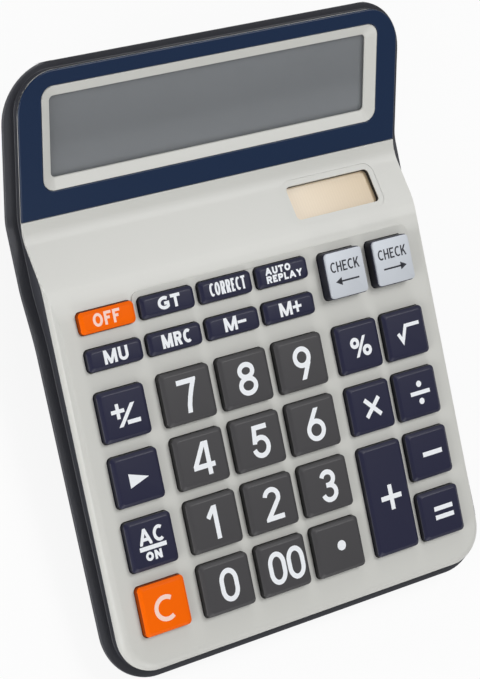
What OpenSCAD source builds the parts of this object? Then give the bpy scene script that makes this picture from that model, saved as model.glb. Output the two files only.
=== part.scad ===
// Desk calculator with a tilted display head, a solar window and thirty-three sprung keys.
// Three frames are used. The table frame is the part's own: origin on the table under the middle
// of the outline, +Y towards the display, +Z up. The deck frame lies on the key deck, with its
// origin on the top face at the shell's front edge. The head frame lies on the display face,
// with its origin at the bottom of the valley. In each of them +Z points out of the surface.

/* [Body] */
// Corner radius of the top shell, seen from above
corner_r = 12.5; // [9:0.5:15]
// Rounding along the top edge of the key deck
edge_r = 3; // [1:0.25:3]
// Wall of the top shell
shell_wall = 2.2; // [1.8:0.1:2.4]
// Wall of the bottom case
case_wall = 2; // [1.5:0.1:2.5]
// Angle of the key deck to the table
deck_tilt = 6; // [5:0.5:8]
// Height of the deck's front edge above the table
front_h = 14; // [14:0.5:18]
// Length of the deck behind the upper small keys, to where the valley starts
deck_end = 2.7; // [2.3:0.025:5]
// Radius where the deck rolls over into the valley
deck_break_r = 49; // [30:1:60]
// Downward angle of the valley's near side to the deck
valley_slope = 18.5; // [16:0.5:20]
// Length of the valley's near side
valley_l = 24.8; // [24.5:0.1:28]
// Radius at the bottom of the valley
valley_r = 11.5; // [8:0.5:12]
// Upward angle of the display head to the deck
head_tilt = 20.7; // [18:0.1:23]

/* [Rim] */
// Depth of the joint between the shells below the deck
joint_drop = 3.3; // [3:0.1:4]
// Step in from the shell's side to the case's side
case_inset = 0.4; // [0.2:0.05:0.6]
// Wall of the case's upstanding rim
rim_wall = 1.4; // [1.2:0.1:1.5]
// Wall of the shell's lip, which stands inside that rim
lip_wall = 1.2; // [1:0.1:1.3]
// Play between the rim and the lip
shell_play = 0.15; // [0.1:0.05:0.2]
// Reach of the flange past the shell's sides
flange_out = 3.4; // [2.5:0.1:3.6]
// Reach of the flange past the shell's front edge
flange_out_front = 2.6; // [2:0.1:3]
// Reach of the flange past the top edge of the head
flange_out_head = 1.9; // [1.5:0.1:2.4]
// Corner radius of the flange at the front
flange_front_r = 17; // [14:0.5:18]
// Corner radius of the flange at the head
flange_head_r = 18; // [15:0.5:19]
// Thickness of the flange
flange_t = 1.3; // [1:0.1:1.4]
// Depth of the flange below the deck at the front
flange_front = 5.9; // [5.6:0.1:6.4]
// Depth of the flange below the deck where the valley starts
flange_break = 7.5; // [7:0.1:7.8]
// Distance of that place in front of the deck's end
flange_break_in = 10; // [6:1:20]
// Depth of the flange below the deck in the valley
flange_valley = 9.8; // [9.4:0.1:10.2]
// Distance behind the deck's end to where the flange is level in the valley
flange_valley_out = 6; // [4:1:10]
// Depth of the flange below the display head
flange_head = 3.4; // [3:0.1:3.6]
// Depth of the ledge that the shell's lip stands on
ledge_depth = 5; // [4.8:0.1:5.2]
// Depth of the rim's underside below the deck, where the case steps in
rim_depth = 9.3; // [9.2:0.1:9.6]
// Depth of the rim's underside below the head
rim_head_depth = 6.3; // [6.2:0.1:6.5]
// Depth of the case's shallow underside
tray_depth = 11; // [11:0.1:11.5]
// Floor of that shallow part
tray_floor = 1.5; // [1.2:0.1:1.5]
// Step in of the case below the rim
tray_step = 1.9; // [1.7:0.1:2]
// Corner radius of the case below the rim, at the head
tray_head_r = 13.7; // [13:0.1:14]

/* [Belly] */
// Distance of the belly's sides from the shell's sides
belly_side = 15.5; // [13:0.5:20]
// Distance from the shell's front edge to the belly's front wall, along the table
belly_front = 12; // [11:0.5:16]
// Distance from the belly's rear wall to the shell's rear edge, along the table
belly_rear = 8; // [7.5:0.25:9]
// Corner radius of the belly
belly_r = 8; // [5:0.5:12]

/* [Feet] */
// Diameter of a rubber foot
foot_d = 10; // [8:0.5:12]
// Height that a foot stands out of the case
foot_h = 1.5; // [1:0.1:2]
// Depth of a foot's socket in the case
foot_socket = 0.6; // [0.4:0.1:0.8]
// Distance of a foot's middle from the belly's side
foot_side = 10; // [8:0.5:16]
// Distance of the front and rear feet from the belly's end walls
foot_inset = 9; // [8:0.5:12]

/* [Keys] */
// Distance from the shell's left side to the left function keys
left_margin = 7.95; // [7.5:0.05:9]
// Gap from the left function keys to the number keys
left_gap = 5.55; // [5:0.05:7]
// Gap between two number keys, across
main_gap_x = 3.2; // [2.4:0.1:4]
// Gap between two number keys, along
main_gap_y = 3.55; // [2.6:0.05:4]
// Gap from the number keys to the right function keys
right_gap = 5.5; // [5:0.1:7]
// Gap between the two columns of right function keys
edge_gap = 2.35; // [2:0.05:4]
// Distance from the right function keys to the shell's right side
right_margin = 8; // [7.8:0.1:10]
// Distance from the shell's front edge to the number keys
front_margin = 10.95; // [10:0.05:13]
// Gap from the number keys to the small keys
small_front_gap = 6.05; // [5:0.05:7]
// Gap between the two rows of small keys
small_gap_y = 4.65; // [3.6:0.05:5.4]
// How far the row of small keys reaches past the function keys on the left
small_left_out = 0.15; // [0:0.05:0.5]
// How far it reaches past the number keys on the right
small_right_out = 0.55; // [0:0.05:0.8]
// Gap between two small keys, across
small_gap_x = 2.05; // [1.8:0.05:3]
// Shift of the two check keys behind the middle of the small rows
check_shift = 0.85; // [0:0.05:1.5]
// How far the check keys stand to the left of the function keys' columns
check_aside = 0.7; // [0:0.05:1]
// Width of a number key
main_key_w = 18.65; // [17:0.05:19]
// Length of a number key
main_key_l = 16.75; // [16:0.05:17.5]
// Width of a function key
side_key_w = 17.1; // [16:0.1:17.3]
// Length of a function key
side_key_l = 15.95; // [15.5:0.05:16.8]
// Length of a small key
small_key_l = 7; // [6.6:0.05:7.6]
// Width of a check key
check_key_w = 15.4; // [14.5:0.1:16.5]
// Length of a check key
check_key_l = 15.35; // [14:0.05:15.6]
// Height of a number key above the deck
main_key_h = 2.5; // [2.2:0.05:3]
// Height of a function key above the deck
side_key_h = 2.3; // [2.1:0.05:3]
// Height of a small key above the deck
small_key_h = 2; // [1.8:0.05:2.6]
// Height of a check key's body above the deck
check_key_h = 3.4; // [2.8:0.1:3.6]
// Thickness of the plate on a check key
check_cap_t = 0.7; // [0.5:0.05:1]
// Step from a check key's body to its plate
check_cap_step = 0.3; // [0.1:0.05:0.6]
// Width of the bevel round a key's top
key_bevel_w = 1.2; // [0.8:0.05:1.8]
// Height of that bevel
key_bevel_h = 0.75; // [0.6:0.05:1.3]
// Corner radius of a key
key_r = 1.5; // [1.2:0.1:2]
// Travel of a key
key_travel = 1.3; // [1:0.05:1.5]
// Gap between a key and its opening
key_gap = 0.25; // [0.2:0.05:0.4]
// Wall of a key
key_wall = 1.2; // [1:0.05:1.4]
// Gap between a key's lip and the underside of the deck
lip_gap = 0.2; // [0.1:0.05:0.3]
// Reach of a key's lip past its wall
lip_w = 0.8; // [0.6:0.05:1]
// Thickness of a key's lip
lip_t = 1; // [0.8:0.05:1.2]
// Radius of the stem under a key
stem_r = 2; // [1.6:0.1:2.2]

/* [Key pad] */
// Depth of the main board's top face below the deck
board_depth = 6.6; // [6.5:0.05:6.8]
// Thickness of the main board
board_t = 1.6; // [1.2:0.1:1.8]
// Thickness of the rubber sheet
sheet_t = 0.8; // [0.6:0.05:0.9]
// Height that a rubber dome keeps when its key is fully down
dome_crush = 0.4; // [0.3:0.05:0.5]
// Radius of a dome's foot
dome_foot_r = 3.4; // [3.2:0.1:3.6]
// Radius of a dome's top
dome_top_r = 2.3; // [2.1:0.1:2.5]
// Gap between a key's stem and its dome
dome_gap = 0.1; // [0.05:0.05:0.2]
// Distance from the shell's sides to the main board
board_side = 5; // [4.5:0.25:6]
// Distance from the shell's front edge to the board
board_front = 12.2; // [12:0.1:13]
// Reach of the main board past the deck's end
board_past = 0.7; // [0:0.1:1]

/* [Display] */
// Width of the panel beside the window
panel_beside = 8; // [7.5:0.25:11]
// Length of the display window, along the head
window_l = 33.1; // [31:0.1:34]
// Height of the panel below the window
panel_below = 8.15; // [7.5:0.05:9]
// Height of the panel above the window
panel_above = 4.85; // [4.5:0.05:6]
// Corner radius of the display window
window_r = 4; // [3:0.25:5]
// Width of the sloping bezel inside the window
bezel_w = 3.7; // [3:0.1:4.2]
// Depth of the sloping bezel
bezel_d = 1.8; // [1.2:0.1:2]
// Thickness of the dark panel round the window
panel_t = 0.8; // [0.7:0.1:1]
// Distance from the bottom of the valley to the panel's lower edge
panel_y = 3.7; // [3.4:0.1:4.4]
// Play round the panel
panel_play = 0.1; // [0.05:0.05:0.2]
// Thickness of the clear lens
lens_t = 0.8; // [0.6:0.1:1]
// Overlap of the lens behind the bezel, on each side
lens_lap = 2; // [1.5:0.1:2.4]
// Thickness of the display glass
glass_t = 1.8; // [1.4:0.1:2.2]
// Overlap of the glass behind the bezel, on each side
glass_lap = 2.2; // [2:0.1:2.3]
// Thickness of the pad behind the glass
pad_t = 1.5; // [1:0.1:2]
// Thickness of the display holder
holder_t = 1.2; // [1:0.1:1.2]

/* [Solar window] */
// Width of the solar window
solar_w = 33.6; // [28:0.1:36]
// Length of the solar window, along the valley's near side
solar_l = 11.7; // [9:0.1:12]
// Distance from the solar window to the shell's right side
solar_side = 12.85; // [10:0.05:16]
// Distance from the deck's end to the middle of the solar window
solar_y = 14.75; // [14.5:0.05:15.2]
// Corner radius of the solar window
solar_r = 1.6; // [1:0.1:2.4]
// Thickness of the shell's lip round the solar window
solar_lip = 0.5; // [0.45:0.05:0.9]
// Thickness of the dark frame over the cell
solar_frame_t = 1.3; // [0.8:0.05:1.5]
// Thickness of the solar cell
cell_t = 1.2; // [1:0.1:1.5]
// Overlap of the cell under its frame, on each side
cell_lap = 1.3; // [1:0.1:1.6]
// Width of the frame's wall round the cell
solar_frame_w = 1.4; // [1:0.1:1.8]

/* [Raised pad] */
// Reach of the flat pad past the upper small keys on the left
pad_left_out = 1.7; // [1.5:0.05:1.9]
// Distance from the flat pad to the shell's right side
pad_side = 6.5; // [6:0.1:7.5]
// Reach of the flat pad behind the upper small keys
pad_back_out = 2.1; // [1.8:0.05:2.3]
// Corner radius of the flat pad
pad_r = 3; // [2:0.25:4]

/* [Screws] */
// Shank radius of a board or display screw
small_shank_r = 0.85; // [0.7:0.05:1]
// Head radius of a board or display screw
small_head_r = 1.8; // [1.5:0.1:2]
// Shank radius of a case screw
case_shank_r = 1.2; // [1:0.05:1.4]
// Head radius of a case screw
case_head_r = 2.3; // [2:0.1:2.4]
// Height of a screw head
screw_head_t = 1.4; // [1.2:0.1:1.6]
// Play between a screw's shank and its hole
screw_play = 0.05; // [0.05:0.05:0.15]
// Radius of the posts for board and display screws
small_post_r = 1.7; // [1.6:0.05:1.9]
// Radius of the posts for case screws
case_post_r = 2.7; // [2.4:0.1:2.8]

/* [Battery] */
// Diameter of the battery
battery_d = 14.2; // [13.5:0.1:14.5]
// Length of the battery's can
battery_l = 49; // [46:0.5:50]
// Radius of the battery's positive cap
battery_cap_r = 2.6; // [2.2:0.1:2.8]
// Length of the positive cap
battery_cap_l = 1.2; // [1:0.1:1.5]
// Place of the battery's middle across the case
battery_x = 0; // [-8:1:8]
// Distance from the belly's rear wall to the battery's middle
battery_y = 12.5; // [12:0.5:13]
// Play round the battery
battery_play = 0.4; // [0.3:0.1:0.5]
// Wall of the battery box
box_wall = 1.4; // [1.2:0.1:1.6]
// Depth of the contact pocket at each end of the battery box
contact_room = 3; // [2.6:0.1:3.4]
// Thickness of a contact strip
contact_t = 0.4; // [0.3:0.05:0.5]
// Reach of the tongues on the battery cover's sides
tongue_w = 1.2; // [0.8:0.1:1.6]
// Thickness of those tongues
tongue_t = 0.8; // [0.6:0.1:0.9]
// Running play round the battery cover
cover_play = 0.15; // [0.1:0.05:0.25]

/* [Wires] */
// Radius of a lead
lead_r = 0.5; // [0.4:0.05:0.6]
// Thickness of the display ribbon
ribbon_t = 0.3; // [0.2:0.05:0.4]
// Width of the display ribbon
ribbon_w = 60; // [40:1:80]

/* [Hidden] */
$fn = 32;
eps = 0.01;
bite = 0.3;       // depth to which joined solids of one piece run into each other
clear_off = 6;    // how far cutting solids stand clear of what they cut
arc_step = 3.5;   // turn of one straight step in a rounded side profile, in degrees

// Layout across the deck: margins, keys and gaps add up to the shell's width
col_pitch = main_key_w + main_gap_x;
left_pitch = (side_key_w + main_key_w) / 2 + left_gap;
right_pitch = (main_key_w + side_key_w) / 2 + right_gap;
edge_pitch = side_key_w + edge_gap;
shell_w = left_margin + side_key_w / 2 + left_pitch + 2 * col_pitch + right_pitch + edge_pitch
          + side_key_w / 2 + right_margin;
shell_half = shell_w / 2;
left_col_x = left_margin + side_key_w / 2 - shell_half;
col0_x = left_col_x + left_pitch;
right_col_x = col0_x + 2 * col_pitch + right_pitch;
edge_col_x = right_col_x + edge_pitch;
// Layout along the deck
row_pitch = main_key_l + main_gap_y;
row0_y = front_margin + main_key_l / 2;
small_row_b_y = row0_y + 3 * row_pitch + (main_key_l + small_key_l) / 2 + small_front_gap;
small_row_a_y = small_row_b_y + small_key_l + small_gap_y;
check_y = (small_row_b_y + small_row_a_y) / 2 + check_shift;
deck_l = small_row_a_y + small_key_l / 2 + deck_end;
// Four small keys fill the row from the function keys to the number keys
small_left = left_margin - shell_half - small_left_out;
small_right = col0_x + 2 * col_pitch + main_key_w / 2 + small_right_out;
small_key_w = (small_right - small_left - 3 * small_gap_x) / 4;
// Layout of the head: panel, window and panel again
window_w = shell_w - 2 * panel_beside;
window_y = panel_y + panel_below + window_l / 2;
head_l = window_y + window_l / 2 + panel_above;

// Side profile: where the deck line meets the valley line, and the valley line meets the head line
brk = [deck_l, 0];
// Place where the line through p along u meets the line through q along v
function meet(p, u, q, v) = p + u * (cross(q - p, v) / cross(u, v));
deck_dir = [1, 0];
slope_dir = [cos(valley_slope), -sin(valley_slope)];
head_dir = [cos(head_tilt), sin(head_tilt)];
val = brk + valley_l * slope_dir;
// Point on the head, s along it from the valley's bottom and d below its face
function head_pt(s, d) =
    val + s * head_dir + d * [sin(head_tilt), -cos(head_tilt)];
// Point on the valley's near side, s along it from the deck's end and d below its face
function slope_pt(s, d) =
    brk + s * slope_dir - d * [sin(valley_slope), cos(valley_slope)];

// A path whose corners are rounded: pts are its corners, rs their radii, the ends stay sharp
function unit(v) = v / norm(v);
function corner(p0, p1, p2, r) =
    let (u = unit(p1 - p0), v = unit(p2 - p1), turn = asin(u[0] * v[1] - u[1] * v[0]),
         t = r * tan(abs(turn) / 2), side = turn > 0 ? 1 : -1,
         c = p1 - t * u + side * r * [-u[1], u[0]], n = max(2, ceil(abs(turn) / arc_step)),
         a0 = atan2(p1[1] - t * u[1] - c[1], p1[0] - t * u[0] - c[0]))
    [for (i = [0 : n]) c + r * [cos(a0 + turn * i / n), sin(a0 + turn * i / n)]];
function rounded_path(pts, rs) = let (last = len(pts) - 1) [
    pts[0],
    for (i = [1 : last - 1]) each corner(pts[i - 1], pts[i], pts[i + 1], rs[i - 1]),
    pts[last]
];
function reversed(list) = [for (i = [len(list) - 1 : -1 : 0]) list[i]];
function lowered(path, d) = [for (p = path) p - [0, d]];

// Steps in from the shell's side, as growths of its outline
joint_gap = 0.1;                            // gap left between the two shells where they meet
joint_sink = panel_t + joint_gap / 2;
joint_break_r = 20;
lip_grow = -case_inset - rim_wall - shell_play;
inner_grow = lip_grow - lip_wall;
tray_grow = -case_inset - tray_step;
tray_side = 1.5;                            // side wall of the shallow part
tray_inner_grow = tray_grow - tray_side;

// A profile that runs d[0] below the deck, d[1] below the valley's near side and d[2] below the
// head, with corner radii r, from ends[0] in front of the shell to ends[1] past the head's edge
function profile(d, r, ends) = rounded_path(
    [[-ends[0], -d[0]], meet([0, -d[0]], deck_dir, slope_pt(0, d[1]), slope_dir),
     meet(slope_pt(0, d[1]), slope_dir, head_pt(0, d[2]), head_dir), head_pt(head_l + ends[1], d[2])],
    r);
// The top face's own profile, k deep and grown at both ends
function contour(k, grow) = profile([k, k, k], [deck_break_r - k, valley_r + k], [grow, grow]);
// The joint between the shells: level round the deck, then under the surface at the panel's depth
function joint_path(grow, d) = lowered(
    profile([joint_drop, joint_sink, joint_sink], [joint_break_r, valley_r + joint_sink], [grow, grow]), d);
// The underside of the rim, raised by lift
rim_radii = [40, 20];
function rim_path(grow, lift = 0) =
    profile([rim_depth - lift, rim_depth - lift, rim_head_depth - lift], rim_radii, [grow, grow]);
// The flange's top edge
flange_head_s = (head_pt(0, flange_head)[1] + flange_valley) / -sin(head_tilt);
flange_radii = [60, 25, 12];
function flange_top() = rounded_path(
    [[-flange_out_front, -flange_front], [deck_l - flange_break_in, -flange_break],
     [deck_l + flange_valley_out, -flange_valley],
     head_pt(flange_head_s, flange_head), head_pt(head_l + flange_out_head, flange_head)],
    flange_radii);

// Table frame
function to_table(p) = [p[0] * cos(deck_tilt) - p[1] * sin(deck_tilt),
                        p[0] * sin(deck_tilt) + p[1] * cos(deck_tilt) + front_h];
function to_deck(q) = [q[0] * cos(deck_tilt) + (q[1] - front_h) * sin(deck_tilt),
                       -q[0] * sin(deck_tilt) + (q[1] - front_h) * cos(deck_tilt)];
belly_w = shell_w - 2 * belly_side;
belly_back = to_table(head_pt(head_l, 0))[0] - belly_rear;
outline_front = to_table([-flange_out_front, -flange_front])[0];
outline_back = to_table(head_pt(head_l + flange_out_head, flange_head) - [0, flange_t])[0];
deck_y = -(outline_front + outline_back) / 2;   // shell's front edge in the table frame

// Depths under the deck
cap_skin = 0.4;                     // skin left under a key's bevel
lip_top = -shell_wall - lip_gap;
key_bottom = lip_top - lip_t;
lip_side_gap = 0.15;
sheet_top = -board_depth + sheet_t;
dome_h = key_travel + dome_crush;
dome_top = sheet_top + dome_h;
stem_bottom = dome_top + dome_gap;
board_bottom = -board_depth - board_t;

// Key places: columns and rows
function col_x(i) = col0_x + i * col_pitch;
function row_y(i) = row0_y + i * row_pitch;
function small_x(i) = small_left + small_key_w / 2 + i * (small_key_w + small_gap_x);
tall_key_l = side_key_l + row_pitch;
// Every key: place across, place along, width, length
MAIN_KEYS = [for (row = [0 : 3], col = [0 : 2]) [col_x(col), row_y(row), main_key_w, main_key_l]];
SIDE_KEYS = [
    for (row = [0 : 3]) [left_col_x, row_y(row), side_key_w, side_key_l],
    for (row = [2 : 3]) [right_col_x, row_y(row), side_key_w, side_key_l],
    for (row = [0 : 3]) [edge_col_x, row_y(row), side_key_w, side_key_l],
    [right_col_x, row_y(0.5), side_key_w, tall_key_l]
];
SMALL_KEYS = [for (y = [small_row_b_y, small_row_a_y], col = [0 : 3])
    [small_x(col), y, small_key_w, small_key_l]];
CHECK_KEYS = [for (x = [right_col_x, edge_col_x]) [x - check_aside, check_y, check_key_w, check_key_l]];
ALL_KEYS = concat(MAIN_KEYS, SIDE_KEYS, SMALL_KEYS, CHECK_KEYS);

// Flat pad round the upper small keys, and the solar window
pad_left = small_x(1) - small_key_w / 2 - pad_left_out;
pad_right = shell_half - pad_side;
pad_back = small_row_a_y + small_key_l / 2 + pad_back_out;
solar_x = shell_half - solar_side - solar_w / 2;

// Main board
board_w = shell_w - 2 * board_side;
board_end = deck_l + board_past;
board_l = board_end - board_front;

// Posts for the board: between the left and right key blocks, halfway between rows
post_left_x = (left_col_x + side_key_w / 2 + col_x(0) - main_key_w / 2) / 2;
post_right_x = (col_x(2) + main_key_w / 2 + right_col_x - side_key_w / 2) / 2;
post_top_y = (row_y(3) + main_key_l / 2 + small_row_b_y - small_key_l / 2) / 2;
BOARD_POSTS = [for (x = [post_left_x, post_right_x], y = [row_y(0.5), row_y(2.5), post_top_y]) [x, y]];
small_pilot_r = small_shank_r + screw_play;

// Case screws: two at the front, two on the valley's near side, two in the head
front_post = [shell_half - 11.5, 7];
case_post_x = shell_half + tray_inner_grow - case_post_r - 0.1;
valley_post = [case_post_x, 9];
head_post = [case_post_x, window_y - 4.4];
joint_depth = 7.5;                  // where the deck's posts meet the case's bosses
valley_joint_depth = 7;             // the same in the valley
head_joint_depth = 7.4;             // the same in the head
case_boss_r = 3.6;
case_screw_seat = tray_depth - 1.7; // depth of the face that a case screw's head bears on
case_screw_l = 5.5;
case_pilot_r = case_shank_r + screw_play;
case_hole_r = case_shank_r + 0.3;

// Display stack, as depths below the head's face
pocket_play = 0.2;                  // play round the lens and the glass in the shell
hole_play = 0.1;                    // what a screw's hole adds where the screw only passes through
seat_depth = panel_t;
head_under = seat_depth + shell_wall;
lens_front = bezel_d + 0.6;
glass_front = lens_front + lens_t;
pad_front = glass_front + glass_t;
holder_front = pad_front + pad_t;
opening_w = window_w - 2 * bezel_w;
opening_l = window_l - 2 * bezel_w;
opening_r = window_r - bezel_w / 2 - 0.6;
lens_w = opening_w + 2 * lens_lap;
lens_l = opening_l + 2 * lens_lap;
glass_w = opening_w + 2 * glass_lap;
glass_l = opening_l + 2 * glass_lap;
holder_w = 2 * (shell_half + tray_inner_grow) - 1;
holder_r = 9;
display_post_x = shell_half + tray_inner_grow - small_post_r - 0.2;
display_post_rows = [head_post[1] - 8, head_post[1] + 8.5];   // clear of the case screw between them
DISPLAY_POSTS = [for (x = [-1, 1], y = display_post_rows) [x * display_post_x, y]];
holder_slot_r = case_boss_r + 0.3;

// Solar stack, as depths below the valley's near side
cell_front = solar_lip + solar_frame_t;
cell_w = solar_w + 2 * cell_lap;
cell_l = solar_l + 2 * cell_lap;
frame_w = cell_w + 2 * solar_frame_w;
frame_l = cell_l + 2 * solar_frame_w;
frame_depth = cell_front + cell_t + 0.4;
surround_w = 2;      // shallow dish round the solar window
surround_d = 0.15;

// Belly and battery, in the table frame
belly_floor = foot_h + case_wall;
belly_y0 = deck_y + belly_front;
belly_y1 = deck_y + belly_back;
box_w = battery_l + battery_cap_l + 2 * contact_room;
box_l = battery_d + 2 * battery_play;
box_h = battery_d + battery_play;
bat_y = belly_y1 - battery_y;
bat_z = belly_floor + battery_play / 2 + battery_d / 2;
cover_w = box_w + 2;
cover_y0 = bat_y - box_l / 2 - 1;
cover_l = belly_y1 - cover_y0;
bat_lead_z = bat_z + 2;
lead_end_gap = 0.06;
tongue_z = foot_h + (case_wall - tongue_t) / 2;
foot_x = belly_w / 2 - foot_side;
FEET = [for (x = [-foot_x, foot_x], y = [belly_y0 + foot_inset, belly_y1 - foot_inset]) [x, y]];

// ---- Frames ----
module deck() {
    translate([0, deck_y, front_h]) rotate([deck_tilt, 0, 0]) children();
}
module head() {
    deck() translate([0, val[0], val[1]]) rotate([head_tilt, 0, 0]) children();
}
module slope() {
    deck() translate([0, brk[0], brk[1]]) rotate([-valley_slope, 0, 0]) children();
}

// ---- Shared shapes ----
// Flat rounded rectangle
module rounded_rect(w, l, r) {
    square([w - 2 * r, l], center = true);
    square([w, l - 2 * r], center = true);
    for (x = [-1, 1], y = [-1, 1]) translate([x * (w / 2 - r), y * (l / 2 - r)]) circle(r);
}
// Plate from height z up, t thick
module plate(w, l, r, z, t) {
    translate([0, 0, z]) linear_extrude(t) rounded_rect(w, l, r);
}
// Block whose four sides lean in from a lower outline to an upper one
module leaning_block(w0, l0, r0, z0, w1, l1, r1, z1) {
    hull() {
        plate(w0, l0, r0, z0, eps);
        plate(w1, l1, r1, z1 - eps, eps);
    }
}
// Corner post to take away: everything outside a quarter circle at a corner of the outline
module corner_waste(x, y, r, side, end) {
    translate([x - side * r, y - end * r, 0]) difference() {
        translate([side > 0 ? 0 : -r - clear_off, end > 0 ? 0 : -r - clear_off, -clear_off * 5])
            cube([r + clear_off, r + clear_off, clear_off * 9]);
        translate([0, 0, -clear_off * 6]) cylinder(r = r, h = clear_off * 11, $fn = 64);
    }
}
// Slab that follows the side profile between two paths, with its sides grow outside the shell's.
// radii are its corners at the front and at the head, ends its reach there.
module slab(upper, lower, grow, radii = undef, ends = undef) {
    half = shell_half + grow;
    r = is_undef(radii) ? [corner_r + grow, corner_r + grow] : radii;
    e = is_undef(ends) ? [grow, grow] : ends;
    difference() {
        deck() rotate([90, 0, 90]) linear_extrude(2 * half, center = true)
            polygon(concat(upper, reversed(lower)));
        for (side = [-1, 1]) {
            deck() corner_waste(side * half, -e[0], r[0], side, -1);
            head() corner_waste(side * half, head_l + e[1], r[1], side, 1);
        }
    }
}
// Waste outside the rounded top edge of the key deck
module edge_waste() {
    length = deck_l + valley_l;
    for (side = [-1, 1]) {
        translate([side * (shell_half - edge_r), corner_r, -edge_r]) difference() {
            translate([side > 0 ? 0 : -edge_r - 1, 0, 0]) cube([edge_r + 1, length - corner_r, edge_r + 1]);
            translate([0, -1, 0]) rotate([-90, 0, 0]) cylinder(r = edge_r, h = length);
        }
        translate([side * (shell_half - corner_r), corner_r, -edge_r]) intersection() {
            rotate_extrude($fn = 64) difference() {
                translate([corner_r - edge_r, 0]) square(edge_r + 1);
                translate([corner_r - edge_r, 0]) circle(edge_r);
            }
            translate([side > 0 ? 0 : -2 * corner_r, -2 * corner_r, -1])
                cube([2 * corner_r, 2 * corner_r, 2 * edge_r + 1]);
        }
    }
    translate([0, edge_r, -edge_r]) difference() {
        translate([-shell_half + corner_r, -edge_r - 1, 0])
            cube([shell_w - 2 * corner_r, edge_r + 1, edge_r + 1]);
        rotate([0, 90, 0]) cylinder(r = edge_r, h = shell_w, center = true);
    }
}
// Screw with its head down: the shank rises from the head's bearing face
module screw(shank_r, head_r, length) {
    translate([0, 0, -eps]) cylinder(r = shank_r, h = length + eps);
    difference() {
        translate([0, 0, -screw_head_t]) cylinder(r = head_r, h = screw_head_t);
        for (a = [0, 90]) rotate([0, 0, a]) translate([0, 0, -screw_head_t])
            cube([head_r * 1.1, head_r * 0.25, screw_head_t], center = true);
    }
}
// Lead through a list of points: a rod for each stretch and a ball at each bend
module lead(pts) {
    for (i = [0 : len(pts) - 2]) {
        d = pts[i + 1] - pts[i];
        translate(pts[i]) rotate([0, acos(d[2] / norm(d)), atan2(d[1], d[0])])
            cylinder(r = lead_r, h = norm(d), $fn = 16);
        if (i > 0) translate(pts[i]) sphere(lead_r + 0.02, $fn = 16);
    }
}

// ---- Shells ----
module raised_pad() {
    w = pad_right - pad_left;
    deck() intersection() {
        translate([(pad_left + pad_right) / 2, pad_back / 2, -shell_wall])
            linear_extrude(shell_wall) rounded_rect(w, pad_back, pad_r);
        translate([pad_left, deck_l / 2, -shell_wall]) cube([w, deck_l, shell_wall]);
    }
}
module panel_seat() {
    translate([-shell_w, panel_y, -seat_depth]) cube([2 * shell_w, head_l, clear_off]);
}
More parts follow.
